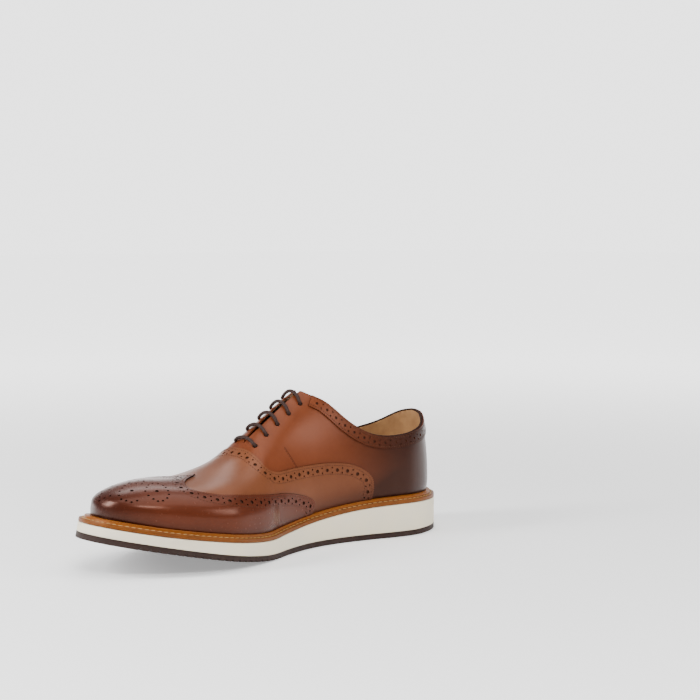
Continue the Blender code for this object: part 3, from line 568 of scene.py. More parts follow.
def grid_mesh(columns, rows, shape):
    """A grid over the unit square, put in place by shape(u, v), with the square kept as its UV map."""
    bm = bmesh.new()
    bmesh.ops.create_grid(bm, x_segments=columns, y_segments=rows, size=0.5)
    flat = np.array([v.co[:2] for v in bm.verts]) + 0.5
    layer = bm.loops.layers.uv.new("UVMap")
    for face in bm.faces:
        for loop in face.loops:
            loop[layer].uv = flat[loop.vert.index]
    for vert, point in zip(bm.verts, shape(flat[:, 0], flat[:, 1])):
        vert.co = point
    return bm


def to_mesh(name, bm):
    mesh = bpy.data.meshes.new(name)
    bm.to_mesh(mesh)
    bm.free()
    return mesh


def new_object(name, data):
    obj = bpy.data.objects.new(name, data)
    bpy.context.scene.collection.objects.link(obj)
    return obj


def step(part, count):
    """Whole step that a part of the unit square's side falls on."""
    return np.rint(part * count).astype(int)


def pour(part, bm):
    """Move one mesh's geometry into another."""
    mesh = to_mesh("part", part)
    bm.from_mesh(mesh)
    bpy.data.meshes.remove(mesh)


def join_seams(bm):
    bmesh.ops.remove_doubles(bm, verts=bm.verts, dist=MERGE)
    bmesh.ops.dissolve_degenerate(bm, edges=bm.edges, dist=0.001 * MM)
    bmesh.ops.recalc_face_normals(bm, faces=bm.faces)
    return bm


def face_out(bm):
    """Turn an open sheet of the upper so that it faces away from the foot."""
    join_seams(bm)
    inside = Vector(((CAD_BOX[0].x + CAD_BOX[1].x) / 2, 0, welt_top(0.1) + BULGE_HEIGHT))
    facing = 0.0
    for face in bm.faces:
        middle = face.calc_center_median()
        away = Vector((0, middle.y - inside.y, middle.z - inside.z))
        facing += face.normal.dot(away) * face.calc_area()
    if facing < 0:
        bmesh.ops.reverse_faces(bm, faces=bm.faces)
    return bm


def piece(name, bm, looks, stands_for=(), sharp=35):
    """A finished piece on the shoe's one body."""
    mesh = to_mesh(name, bm)
    mesh.shade_smooth()
    mesh.set_sharp_from_angle(angle=math.radians(sharp))
    for look in looks if isinstance(looks, (list, tuple)) else [looks]:
        mesh.materials.append(look)
    obj = new_object(name, mesh)
    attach(obj, "root")
    if stands_for:
        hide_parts(*stands_for)
    return obj


def apply_modifiers(obj, sharp=35):
    """Put what the modifiers make into the mesh."""
    seen = obj.evaluated_get(bpy.context.evaluated_depsgraph_get())
    mesh = bpy.data.meshes.new_from_object(seen)
    obj.modifiers.clear()
    old = obj.data
    obj.data = mesh
    bpy.data.meshes.remove(old)
    mesh.name = obj.name
    mesh.shade_smooth()
    mesh.set_sharp_from_angle(angle=math.radians(sharp))
    return obj


def sheet(name, bm, looks, thickness, stands_for=(), inward=False, rim=0, round_off=0):
    """A piece of leather: a surface with a thickness, its rim in the look of that number."""
    obj = piece(name, bm, looks, stands_for)
    wall = obj.modifiers.new("wall", "SOLIDIFY")
    wall.thickness = thickness
    wall.offset = -1 if inward else 1
    wall.material_offset_rim = rim
    if round_off:
        soft = obj.modifiers.new("edge", "BEVEL")
        soft.width = round_off
        soft.segments = 2
    return apply_modifiers(obj)


def cut_out(obj, cutter_bm, looks):
    """Take the cutter's shapes out of a piece; the cut walls get the cutter's materials."""
    cutter = new_object("punch", to_mesh("punch", cutter_bm))
    for look in looks[:2]:
        cutter.data.materials.append(look)
    cut = obj.modifiers.new("cut", "BOOLEAN")
    cut.operation = "DIFFERENCE"
    cut.solver = "MANIFOLD"     # quick with hundreds of punches, and every mesh here is closed
    cut.object = cutter
    apply_modifiers(obj)
    bpy.data.objects.remove(cutter)
    return obj


def basis(point, normal, ahead):
    """Frame with X along ahead and Z along the normal."""
    x, z = Vector(ahead), Vector(normal)
    y = z.cross(x).normalized()
    turn = Matrix((y.cross(z), y, z)).transposed()
    return Matrix.Translation(point) @ turn.to_4x4()


def frames(places, lift, in_line=True):
    """A frame at each place: Z off the leather, X along the line that the places make, or to the toe."""
    if in_line:
        points, normals, ahead, _ = headings(places)
    else:
        points, normals = on_last(places)
        ahead = unit(np.array((1.0, 0, 0)) - normals * normals[:, :1])
    return [basis(point + normal * lift, normal, along)
            for point, normal, along in zip(points, normals, ahead)]


def punch(bm, spots, width, sides, depth=2 * OVERLAY, look=1):
    """Straight punches through the leather at a list of frames."""
    batch = bmesh.new()
    for spot in spots:
        bmesh.ops.create_cone(batch, cap_ends=True, segments=sides, radius1=width / 2, radius2=width / 2,
                              depth=depth, matrix=spot)
    for face in batch.faces:
        face.material_index = look
    pour(batch, bm)


def sew(bm, spots, length, thread):
    """A short thread at each frame, lying along its X."""
    size = Matrix.Diagonal((length / 2, thread / 2, thread / 2, 1)) @ Matrix.Rotation(math.pi / 2, 4, "Y")
    for first in range(0, len(spots), 40):
        batch = bmesh.new()
        for spot in spots[first:first + 40]:
            bmesh.ops.create_uvsphere(batch, u_segments=6, v_segments=5, radius=1, matrix=spot @ size)
        pour(batch, bm)


def stitches(bm, line, lift, pitch=STITCH_PITCH, length=STITCH_LENGTH, thread=THREAD):
    """One row of stitches along a pattern line, lying on the leather."""
    sew(bm, frames(step_along(line, pitch, pitch / 2), lift), length, thread)


def tube(path, radius, sides):
    """A round cord along a path of points, its UV along and round it."""
    count = len(path)
    ahead = unit(np.gradient(path, axis=0))
    across = np.zeros_like(path)
    across[0] = unit(np.cross(ahead[0], (0.0, 0.0, 1.0)))
    for i in range(1, count):
        across[i] = unit(across[i - 1] - ahead[i] * (across[i - 1] @ ahead[i]))
    up = np.cross(across, ahead)

    def shape(u, v):
        i = step(u, count - 1)
        angle = v * 2 * math.pi
        spread = across[i] * np.cos(angle)[:, None] + up[i] * np.sin(angle)[:, None]
        return path[i] + spread * radius

    bm = grid_mesh(count - 1, sides, shape)
    bmesh.ops.remove_doubles(bm, verts=bm.verts, dist=MERGE)
    bmesh.ops.holes_fill(bm, edges=bm.edges, sides=sides)
    bmesh.ops.recalc_face_normals(bm, faces=bm.faces)
    return bm


# Upper

def collar_share(along, k):
    """Collar's girth as a share of the section's full girth."""
    return np.interp(along, SHARES, COLLAR_GIRTH[k] / FULL_GIRTH[k])


def side_sheet(front, columns, rows, lift, top_drop=0.0, slit_drop=0.0):
    """Both sides of the upper from the heel seam to a front share, collar to foot, as one sheet."""
    bm = bmesh.new()
    for k, side in enumerate((1, -1)):
        def shape(u, v, k=k, side=side):
            along = stations(front)(u)
            drop = top_drop + slit_drop * smooth(COLLAR_FRONT, COLLAR_FRONT + 0.02, along)
            top = collar_share(along, k) + drop / np.interp(along, SHARES, FULL_GIRTH[k])
            top = np.where(along < SLIT_FRONT, top, 0)
            girth = top + (1 - top) * v
            across = np.where(girth > 0, side * girth, side * 1e-9)
            return on_last(np.stack([along, across], axis=1), lift)[0]
        pour(grid_mesh(columns, rows, shape), bm)
    return face_out(bm)


def stations(front):
    """Even steps on the skin: the heel's fan gets its share of the columns."""
    marks = np.array([0, HEEL_FAN, SLIT_FRONT, TOE_FAN, 1.0])
    arcs = np.array([0, 0.22, 0.22 + SLIT_FRONT - HEEL_FAN, 0.22 + TOE_FAN - HEEL_FAN, 1.05])
    end = np.interp(front, marks, arcs)
    return lambda u: np.interp(u * end, arcs, marks)


def eyelet_places(side):
    return girth_place(EYELET_SHARES, side * EYELET_FROM_RIDGE)


def punch_eyelets(obj, lift, depth, looks):
    bm = bmesh.new()
    for side in (1, -1):
        punch(bm, frames(eyelet_places(side), lift), EYELET_HOLE, 16, depth, len(looks) - 1)
    return cut_out(obj, bm, looks)


def build_quarters(looks):
    bm = side_sheet(0.70, 260, 60, 0.0)
    obj = sheet("quarters", bm, looks[:2], QUARTER_LEATHER, ["upper"], True)
    return punch_eyelets(obj, 0, 3 * QUARTER_LEATHER, looks[:2])


def build_lining(look):
    bm = side_sheet(1.0, 190, 34, -QUARTER_LEATHER - 0.05 * MM, 0.4 * MM, LINING_BACK)
    obj = sheet("lining", bm, look, LINING_LEATHER, inward=True)
    return punch_eyelets(obj, -QUARTER_LEATHER, 3 * LINING_LEATHER, [look])


def front_sheet(edge, columns, rows, lift):
    """Everything in front of a pattern line, down to the foot and round the toe."""
    line = whole_line(edge)
    points, _ = on_last(line)
    lengths = arc_lengths(points)
    lengths /= lengths[-1]
    straight = 0.45         # of each half runs along the foot, the rest turns round the toe

    def shape(u, v):
        near = read_path(u, lengths, line)
        w = 2 * u - 1
        part = np.clip((1 - np.abs(w)) / straight, 0, 1)
        angle = np.clip(w / (1 - straight), -1, 1) * math.pi / 2
        along = np.where(part < 1, line[0, 0] + part * (TOE_FAN - line[0, 0]),
                         TOE_FAN + FOOT * TOE_RAY * np.cos(angle))
        across = np.where(part < 1, np.sign(w) * FOOT, FOOT * np.sin(angle))
        far = np.stack([along, across], axis=1)
        return on_last(near + (v**1.25)[:, None] * (far - near), lift)[0]

    return face_out(grid_mesh(columns, rows, shape))


def brogue(edge):
    """Places of the medial side's big holes and of the small ones between them."""
    line = offset_half(edge, BROGUE_INSET)
    big = step_along(line, BROGUE_PITCH, BROGUE_START)
    between = step_along(line, BROGUE_PITCH, BROGUE_START + BROGUE_PITCH / 2)
    small = [beside(between, off, 1) for off in (-SMALL_HOLE_OFFSET, SMALL_HOLE_OFFSET)]
    return big, np.vstack(small)


def gimp(bm, line, lift):
    """Notches of a pinked edge: square punches set on their corners along the line."""
    places = step_along(line, GIMP_PITCH, GIMP_PITCH / 2)
    punch(bm, frames(places, lift), 2 * GIMP_DEPTH, 4, look=0)


def edged_overlay(name, edge, lift, columns, looks, extra=()):
    """Cap or vamp: leather over the last with a pinked edge, brogue holes and rows of stitches.

    The looks are those of the leather, its cut edge, the holes and the thread.
    """
    bm = front_sheet(edge, columns, 44, lift)
    obj = sheet(name + "_leather", bm, looks[:2], OVERLAY, [name], rim=1)
    middle = lift + OVERLAY / 2
    bm = bmesh.new()
    gimp(bm, whole_line(edge), middle)
    big, small = brogue(edge)
    for hand in (1, -1):
        punch(bm, frames(big * (1, hand), middle), BIG_HOLE, 14)
        punch(bm, frames(small * (1, hand), middle, False), SMALL_HOLE, 8)
    for places, size in extra:
        punch(bm, frames(places, middle, False), size, 10)
    cut_out(obj, bm, looks[1:])
    thread = bmesh.new()
    for off in (EDGE_STITCH, INNER_STITCH):
        stitches(thread, whole_line(edge, off), lift + OVERLAY)
    piece(name + "_stitching", thread, looks[3], sharp=180)
    # Dark strips behind the brogue holes: painted shade inside the holes.
    back = whole_line(edge, BROGUE_INSET)
    for side, hand in (("medial", 1), ("lateral", -1)):
        strip = ribbon(back[back[:, 1] * hand > 0], BACKING_WIDTH, lift + BACKING_LEVEL)
        sheet(name + "_backing_" + side, strip, looks[2], BACKING)
    return obj


def ribbon(line, width, lift):
    """A narrow strip of leather that follows a pattern line."""
    line = step_along(line, 2 * MM)
    edges = np.array([beside(line, part * width / 2) for part in (-1, -0.33, 0.33, 1)])
    count = len(line)

    def shape(u, v):
        i = step(u, count - 1)
        j = step(v, 3)
        return on_last(edges[j, i], lift)[0]

    return face_out(grid_mesh(count - 1, 3, shape))


def collar_lines(side):
    """Collar edge from the heel seam to the band's front end, and the band's lower edge below it."""
    k = 0 if side > 0 else 1
    shares = np.linspace(0, BAND_FRONT, 160)
    collar = np.stack([shares, side * collar_share(shares, k)], axis=1)
    lower = beside(collar, -side * COLLAR_BAND_WIDTH, 6)
    lower[0, 0] = 0
    return collar, lower


def toe_backing(look):
    """Leather under the toe ornament's holes, coloured dark as painted shade inside the holes."""
    def shape(u, v):
        angle = (u - 0.5) * math.pi
        along = ORNAMENT_BACK + v * ORNAMENT_LENGTH * np.cos(angle)
        flat = np.stack([along, v * ORNAMENT_HALF * np.sin(angle)], axis=1)
        return on_last(flat, CAP_LIFT + BACKING_LEVEL)[0]

    sheet("toe_backing", face_out(grid_mesh(40, 16, shape)), look, BACKING)


def build_collar_band(looks):
    """Band round the collar with a pinked lower edge, brogue holes and two rows of stitches."""
    lift = CLEARANCE
    bm, punches, thread, back = (bmesh.new() for _ in range(4))
    for side in (1, -1):
        collar, lower = collar_lines(side)
        count = len(collar) - 1

        def shape(u, v):
            i = step(u, count)
            return on_last(collar[i] + v[:, None] * (lower[i] - collar[i]), lift)[0]

        pour(grid_mesh(count, 12, shape), bm)
        middle = lift + OVERLAY / 2
        gimp(punches, lower, middle)
        end = collar[-1] + np.linspace(0.3, 1, 12)[:, None] * (lower[-1] - collar[-1])
        gimp(punches, end, middle)
        holes = (collar + (lower - collar) * BAND_MIDDLE)[::-1]
        big = step_along(holes, BROGUE_PITCH, BROGUE_PITCH * 0.6)
        between = step_along(holes, BROGUE_PITCH, BROGUE_PITCH * 1.1)
        punch(punches, frames(big, middle), BAND_HOLE, 12)
        for off in (-SMALL_HOLE_OFFSET, SMALL_HOLE_OFFSET):
            punch(punches, frames(beside(between, off, 1), middle), SMALL_HOLE, 8)
        for part in BAND_STITCHES:
            stitches(thread, collar + (lower - collar) * part, lift + OVERLAY)
        # dark strip behind the band's holes: painted shade inside them
        pour(ribbon(holes[2:-2], BAND_BACKING, lift + BACKING_LEVEL), back)
    band = sheet("collar_leather", face_out(bm), looks[:2], 0.9 * OVERLAY, ["collar_band"], rim=1)
    cut_out(band, punches, looks[1:])
    piece("collar_stitching", thread, looks[3], sharp=180)
    sheet("collar_backing", back, looks[2], BACKING)
    return band


def seam(name, line, look, stitch_look, lift, sides):
    """A closed seam: a dark sunk line with a row of stitches on one or both sides."""
    points, _ = on_last(step_along(line, SEAM_STEP), lift)
    piece(name, tube(points, SEAM_WIDTH / 2, 8), look)
    if sides:
        thread = bmesh.new()
        for off in sides:
            stitches(thread, beside(line, off), lift)
        piece(name + "_stitching", thread, stitch_look, sharp=180)


# Sole

def sole_ring(profile, closed=True):
    """A shell round the sole: each profile row is (inset from the edge, share of the upper's inset, height).

    A row without an inset lies on the sole's middle line, where the two sides meet.
    """
    outline = sole_outline(RING_STEPS)
    count = len(outline)
    across = outline[-np.arange(count) % count]
    middle = (outline[:, 0] + across[:, 0]) / 2
    middle = np.clip(middle, middle.min() + MIDDLE_END, middle.max() - MIDDLE_END)
    rings = []
    for distance, share, height in profile:
        if distance is None:
            loop = np.stack([middle, 0 * middle], axis=1)
        else:
            loop = inset(outline, distance + share * upper_inset(outline[:, 0]))
        rings.append(stack_point(loop[:, 0], loop[:, 1], height(loop[:, 0])))
    rings = np.array(rings)
    rows = len(profile) if closed else len(profile) - 1

    def shape(u, v):
        i = step(u, count) % count
        j = step(v, rows) % len(profile)
        return rings[j, i]

    return join_seams(grid_mesh(count, rows, shape))


def rounded(corners, radius, steps=3):
    """Profile corners (inset, share, height) with their edges rounded off."""
    rows = []
    count = len(corners)
    for i, (x, share, y) in enumerate(corners):
        before, after = corners[i - 1], corners[(i + 1) % count]
        if before[1] != share or after[1] != share:
            rows.append((x, share, y))
            continue
        a = np.array((before[0] - x, before[2] - y), float)
        b = np.array((after[0] - x, after[2] - y), float)
        reach_a = min(radius, np.linalg.norm(a) / 2)
        reach_b = min(radius, np.linalg.norm(b) / 2)
        a, b = unit(a) * reach_a, unit(b) * reach_b
        for t in np.linspace(0, 1, steps + 1):
            shift = a * (1 - t) ** 2 + b * t**2
            rows.append((x + shift[0], share, y + shift[1]))
    return rows


def build_welt(look, stitch_look):
    """Flange with a stitched groove and a round rib against the upper."""
    bottom = 0.02 * MM - WELT_THICKNESS
    groove = WELT_FLANGE - 1.1 * MM
    rib_edge = WELT_FLANGE + 0.1 * MM
    corners = [
        (0.0, 0, bottom),
        (0.0, 0, 0.0),
        (groove - 0.7 * MM, 0, 0.05 * MM),
        (groove, 0, -0.45 * MM),
        (groove + 0.7 * MM, 0, 0.05 * MM),
        (rib_edge, 0, 0.0),
        (rib_edge + 0.2 * MM, 0, WELT_RIB_HEIGHT + 0.2 * MM),
    ]
    rows = rounded(corners, 0.55 * MM)
    rows += [(-1.6 * MM, 1, WELT_RIB_HEIGHT + 0.25 * MM), (-0.9 * MM, 1, WELT_RIB_HEIGHT - 0.2 * MM),
             (0.4 * MM, 1, 0.0), (UPPER_WALL, 1, bottom)]
    profile = [(x, share, lambda at, h=h: welt_top(at) + h) for x, share, h in rows]
    piece("welt_leather", sole_ring(profile), look, ["welt"], sharp=50)
    loop = inset(sole_outline(RING_STEPS), groove)
    path = stack_point(loop[:, 0], loop[:, 1], welt_top(loop[:, 0]) - 0.25 * MM)
    lengths = arc_lengths(path)
    middles = np.arange(WELT_PITCH / 2, lengths[-1], WELT_PITCH)
    starts, ends = (read_path(middles + off, lengths, path) for off in (-WELT_STITCH / 2, WELT_STITCH / 2))
    spots = [basis((a + b) / 2 + (0, 0, 0.15 * MM), (0, 0, 1), unit(b - a)) for a, b in zip(starts, ends)]
    bm = bmesh.new()
    sew(bm, spots, WELT_STITCH, WELT_THREAD)
    piece("welt_stitching", bm, stitch_look, sharp=180)


def build_midsole(look):
    """Foam wedge with a slightly rounded rim above and below."""
    low = OUTSOLE_THICKNESS + 0.02 * MM
    off = 0.5 * MM
    rim = ((None, 0), (MIDSOLE_MARGIN, 0), (off, 0), (0.3 * off, 0.3 * off), (0.0, off))
    profile = [(x, 0, lambda at, drop=drop: midsole_top(at) - drop) for x, drop in rim]
    profile += [(0.0, 0, lambda at: (midsole_top(at) + low) / 2)]
    profile += [(x, 0, lambda at, rise=rise: low + rise + 0 * at) for x, rise in rim[::-1]]
    piece("midsole_wedge", sole_ring(profile, False), look, ["midsole"])


def groove_depth(x, y, medial, lateral):
    """How deep the tread is cut at a place under the sole; grooves end round inside the margin."""
    share = share_at(x)
    pitch_at = np.floor(x / RIB_PITCH) * RIB_PITCH + RIB_PITCH / 2
    first, last = place(0) + PLAIN_END, place(1) - PLAIN_END
    runs_out = (share > RUN_OUT_FROM) & (share < RUN_OUT_TO)
    half = GROOVE_WIDTH / 2
    high = np.where(runs_out, medial + GROOVE_MARGIN, medial - GROOVE_MARGIN) - half
    low = -lateral + GROOVE_MARGIN + half
    off = np.hypot(x - pitch_at, np.maximum(0, np.maximum(y - high, low - y)))
    depth = smooth(0, 0.35 * half, half - off)
    return np.where((pitch_at >= first) & (pitch_at <= last), GROOVE_DEPTH * depth, 0)


def build_outsole(look):
    """Ribbed rubber: the tread's underside, drawn up into side walls and closed above."""
    columns, rows = 620, 56
    x_back, x_front = OUTLINE[:, 0].min() + 0.02 * MM, OUTLINE[:, 0].max() - 0.02 * MM
    fine = np.linspace(0, 1, columns + 1)
    eased = fine - 0.8 * np.sin(2 * math.pi * fine) / (2 * math.pi) * np.exp(-np.minimum(fine, 1 - fine) * 14)
    xs = x_back + eased * (x_front - x_back)
    outline = sole_outline(RING_STEPS)
    medial = np.array([reach(outline, x, 0, 0, 1) for x in xs])
    lateral = np.array([reach(outline, x, 0, 0, -1) for x in xs])

    def shape(u, v):
        i = step(u, columns)
        w = 2 * v - 1
        w = w * (1.25 - 0.25 * w * w)
        y = np.where(w > 0, w * medial[i], w * lateral[i])
        depth = groove_depth(xs[i], y, medial[i], lateral[i])
        edge = np.clip(np.minimum(medial[i] - y, y + lateral[i]) / (0.8 * MM), 0, 1)
        return stack_point(xs[i], y, depth + 0.35 * MM * (1 - edge) ** 2)

    bm = grid_mesh(columns, rows, shape)
    bmesh.ops.remove_doubles(bm, verts=bm.verts, dist=MERGE)
    rim = [e for e in bm.edges if e.is_boundary]
    made = bmesh.ops.extrude_edge_only(bm, edges=rim)
    for vert in (g for g in made["geom"] if isinstance(g, bmesh.types.BMVert)):
        vert.co = stack_point(np.array(vert.co.x), np.array(vert.co.y), OUTSOLE_THICKNESS)
    bmesh.ops.holes_fill(bm, edges=[e for e in bm.edges if e.is_boundary], sides=0)
    bmesh.ops.recalc_face_normals(bm, faces=bm.faces)
    piece("outsole_tread", bm, look, ["outsole"], sharp=40)


# Tongue, binding and lace

def girth_place(share, girth):
    """Pattern place of a girth in metres from the ridge, positive on the medial side."""
    share, girth = np.broadcast_arrays(share, girth)
    medial, lateral = (np.interp(share, SHARES, full) for full in FULL_GIRTH)
    full = np.where(girth >= 0, medial, lateral)
    return np.stack([share, girth / full], axis=-1)


def tongue_depth(share, girth):
    near = UPPER_WALL + TONGUE_GAP
    room = LACE_DIAMETER + LACE_GAP + CLEARANCE - TONGUE_GAP
    wide = EYELET_FROM_RIDGE + LACE_TRACK + LACE_DIAMETER
    side = np.clip((TONGUE_HALF - np.abs(girth)) / (TONGUE_HALF - wide), 0, 1)
    front = np.clip((TONGUE_FRONT - share) / (TONGUE_FRONT - SLIT_FRONT), 0, 1)
    return near + room * (3 - 2 * side) * side**2 * (3 - 2 * front) * front**2


def build_tongue(look):
    def shape(u, v):
        share = TONGUE_FRONT + (TONGUE_TOP - TONGUE_FRONT) * u
        half = TONGUE_HALF * (1 - TONGUE_TAPER * (1 - np.sin(math.pi * u / 2)))
        girth = (2 * v - 1) * half
        return on_last(girth_place(share, girth), -tongue_depth(share, girth))[0]

    bm = face_out(grid_mesh(70, 48, shape))
    return sheet("tongue_leather", bm, look, TONGUE_THICKNESS, ["tongue"], True, round_off=0.5 * MM)


def build_binding(look):
    """Thin rolled edge round the collar, from one facing to the other."""
    shares = np.linspace(BINDING_FRONT, 0, 170)
    sides = []
    for k, side in enumerate((1, -1)):
        across = side * collar_share(shares, k)
        sides.append(on_last(np.stack([shares, across], axis=1), -QUARTER_LEATHER * 0.85)[0])
    path = np.vstack([sides[0], sides[1][-2::-1]])
    piece("topline_binding", tube(path, BINDING / 2, 12), look)


def lace_bend(hole, direction, upward):
    """Quarter turn from the eyelet's axis into a direction, above or below the facing."""
    middle, normal = hole
    direction = unit(direction - normal * (direction @ normal))
    level, away = (LACE_LEVEL, 1) if upward else (HIDDEN_LEVEL, -1)
    bend = []
    for angle in np.linspace(0, math.pi / 2, 6):
        out = LACE_BEND * (1 - math.cos(angle))
        lift = level - away * LACE_BEND * (1 - math.sin(angle))
        bend.append(middle + direction * out + normal * lift)
    return bend


def lace_bar(start_side, pair, holes):
    a, b = holes[start_side][pair], holes[-start_side][pair]
    first = lace_bend(a, b[0] - a[0], True)
    last = lace_bend(b, a[0] - b[0], True)
    parts = np.linspace(0.66, -0.66, 11)
    lift = LACE_LEVEL + (LACE_ARCH - LACE_LEVEL) * np.cos(parts * math.pi / 2)
    arch = on_last(girth_place(EYELET_SHARES[pair], start_side * parts * EYELET_FROM_RIDGE), lift)[0]
    return first + list(arch) + last[::-1]


def lace_run(side, start, end, track, holes):
    lead = LACE_LEAD / SOLE_LENGTH * (-1 if end > start else 1)
    stops = np.linspace(EYELET_SHARES[start] + lead, EYELET_SHARES[end] - lead, 6 * abs(end - start))
    points = on_last(girth_place(stops, side * (EYELET_FROM_RIDGE + track)), HIDDEN_LEVEL)[0]
    a, b = holes[side][start], holes[side][end]
    first = lace_bend(a, points[0] - a[0], False)
    last = lace_bend(b, points[-1] - b[0], False)
    return first + list(points) + last[::-1]


def build_lace(look):
    """Five parallel bars; the hidden runs pass under the facings beside the eyelets."""
    holes = {side: list(zip(*on_last(eyelet_places(side)))) for side in (1, -1)}
    top = EYELET_PAIRS - 1
    inner, outer = -LACE_TRACK, LACE_TRACK      # towards the ridge and away from it
    stops = np.array([EYELET_BACK, EYELET_BACK + LACE_TAIL / SOLE_LENGTH])
    start = list(on_last(girth_place(stops, -(EYELET_FROM_RIDGE + outer)), HIDDEN_LEVEL)[0])
    second = holes[-1][top - 1]
    start += lace_bend(second, start[-1] - second[0], False)[::-1]
    route = start + lace_bar(-1, top - 1, holes)
    route += lace_run(1, top - 1, 1, outer, holes) + lace_bar(1, 1, holes)
    route += lace_run(-1, 1, 0, inner, holes) + lace_bar(-1, 0, holes)
    route += lace_run(1, 0, 2, inner, holes) + lace_bar(1, 2, holes)
    route += lace_run(-1, 2, top, inner, holes) + lace_bar(-1, top, holes)
    route += lace_bend(holes[1][top], np.array((-1.0, 0, 0)), False)
    path = catmull(np.array(route), 3, False)
    piece("lace_cord", tube(path, LACE_DIAMETER / 2, 12), look, ["lace"], sharp=180)


# Materials

def colour(value):
    """sRGB hex to linear."""
    channels = [int(value[i:i + 2], 16) / 255 for i in (0, 2, 4)]
    return (*[c / 12.92 if c <= 0.04045 else ((c + 0.055) / 1.055) ** 2.4 for c in channels], 1.0)


def add(tree, kind, inputs=None, **settings):
    """One node with its settings; an input is a value, or a socket to link from."""
    made = tree.nodes.new("ShaderNode" + kind)
    for name, value in settings.items():
        setattr(made, name, value)
    for name, value in (inputs or {}).items():
        if isinstance(value, bpy.types.NodeSocket):
            tree.links.new(value, made.inputs[name])
        else:
            made.inputs[name].default_value = value
    return made


def new_material(name, base, roughness, **sockets):
    """A material with its constants on the shader's own sockets."""
    made = bpy.data.materials.new(name)
    made.use_nodes = True
    tree = made.node_tree
    shader = tree.nodes["Principled BSDF"]
    shader.inputs["Base Color"].default_value = colour(base)
    shader.inputs["Roughness"].default_value = roughness
    for socket, value in sockets.items():
        shader.inputs[socket.replace("_", " ")].default_value = value
    made.diffuse_color = colour(base)
    return made, tree, shader, add(tree, "TexCoord").outputs["Object"]


def per_mm(size):
    """Noise scale, per metre, for spots of a size in millimetres."""
    return 1000 / size


def noise(tree, spot, size, detail):
    return add(tree, "TexNoise", {"Vector": spot, "Scale": per_mm(size), "Detail": detail}).outputs["Fac"]


def ramp(tree, value, from_range, to_range=(0, 1), **settings):
    """The value moved from one range to another, and kept inside it."""
    names = ("From Min", "From Max", "To Min", "To Max")
    limits = dict(zip(names, (*from_range, *to_range)))
    return add(tree, "MapRange", {"Value": value, **limits}, **settings).outputs[0]


def blend(tree, share, first, second, **settings):
    """Two colours mixed: a Mix node's colour sockets are 6 and 7, its colour result is 2."""
    first, second = (colour(value) if isinstance(value, str) else value for value in (first, second))
    return add(tree, "Mix", {0: share, 6: first, 7: second}, data_type="RGBA", **settings).outputs[2]


def sums(tree, operation, *values, **settings):
    return add(tree, "Math", dict(enumerate(values)), operation=operation, **settings).outputs[0]


def surface(tree, shader, tone, height=None, distance=0.0, strength=0.0):
    """Give the shader its colour, and a relief of a height in metres."""
    if tone:
        tree.links.new(tone, shader.inputs["Base Color"])
    if height:
        made = add(tree, "Bump", {"Height": height, "Distance": distance, "Strength": strength})
        tree.links.new(made.outputs["Normal"], shader.inputs["Normal"])


def calf(name, light, base, dark, roughness):
    """Polished calf, hand burnished: the wax fills the grain. A stored share darkens it: partly burnish at
    the toe and heel, partly painted shade where the light falls off towards the heel and near the welt.
    """
    made, tree, shader, spot = new_material(name, base, roughness, Specular_IOR_Level=0.35,
                                            Specular_Tint=colour("FFC3AD"))
    burnish_and_shade = add(tree, "Attribute", attribute_name="burnish_and_shade").outputs["Fac"]
    cloud, fleck = noise(tree, spot, 28, 3.0), noise(tree, spot, 2.2, 4.0)
    pale = blend(tree, ramp(tree, cloud, (0.3, 0.7), (0, 0.5)), base, light)
    # burnish and painted shade: the stored share mixes in the dark tone
    burnish_and_shade_share = sums(tree, "MULTIPLY", burnish_and_shade, ramp(tree, cloud, (0.25, 0.75), (0.92, 1.08)), use_clamp=True)
    burnished_and_shaded = blend(tree, burnish_and_shade_share, pale, dark)
    final = blend(tree, 1.0, burnished_and_shaded, ramp(tree, fleck, (0.3, 0.7), (0.97, 1.03)), blend_type="MULTIPLY")
    # waxed calf is almost smooth: a grain of 0.6 mm over slow swells
    height = sums(tree, "MULTIPLY_ADD", noise(tree, spot, 9, 2.0), 6.0, noise(tree, spot, 0.6, 2.0))
    surface(tree, shader, final, height, 0.03 * MM, 0.35)
    sheen = ramp(tree, fleck, (0, 1), (roughness - 0.03, roughness + 0.05))
    tree.links.new(sheen, shader.inputs["Roughness"])
    return made


def raw_edge(name, base):
    """Cut edge of the leather, inked dark and darkened further as painted shade along the pinked edges, and
    the inside of punched holes, painted dark as the shade in them: matt.
    """
    made, tree, shader, spot = new_material(name, base, 0.75, Specular_IOR_Level=0.15)
    surface(tree, shader, None, noise(tree, spot, 0.8, 3.0), 0.1 * MM, 0.5)
    return made


def thread(name, base):
    """Waxed thread, its twist drawn as slanting ridges 0.5 mm apart."""
    made, tree, shader, spot = new_material(name, base, 0.6, Specular_IOR_Level=0.2)
    twist = add(tree, "TexWave", {"Vector": spot, "Scale": per_mm(0.5) / 20, "Distortion": 2.0})
    surface(tree, shader, None, twist.outputs["Fac"], 0.1 * MM, 0.4)
    return made


def welt_strip(name, base, dark):
    """Vegetable-tanned storm welt: waxy, orange tan, browner along its cut edge and in its groove."""
    made, tree, shader, spot = new_material(name, base, 0.42, Specular_IOR_Level=0.3,
                                            Specular_Tint=colour("FFC3AD"))
    welt_darkening = add(tree, "Attribute", attribute_name="burnish_and_shade").outputs["Fac"]
    drift = ramp(tree, noise(tree, spot, 7, 4.0), (0.3, 0.7), (-0.12, 0.12))
    shade = sums(tree, "ADD", welt_darkening, drift, use_clamp=True)
    surface(tree, shader, blend(tree, shade, base, dark), noise(tree, spot, 0.7, 4.0), 0.12 * MM, 0.35)
    return made


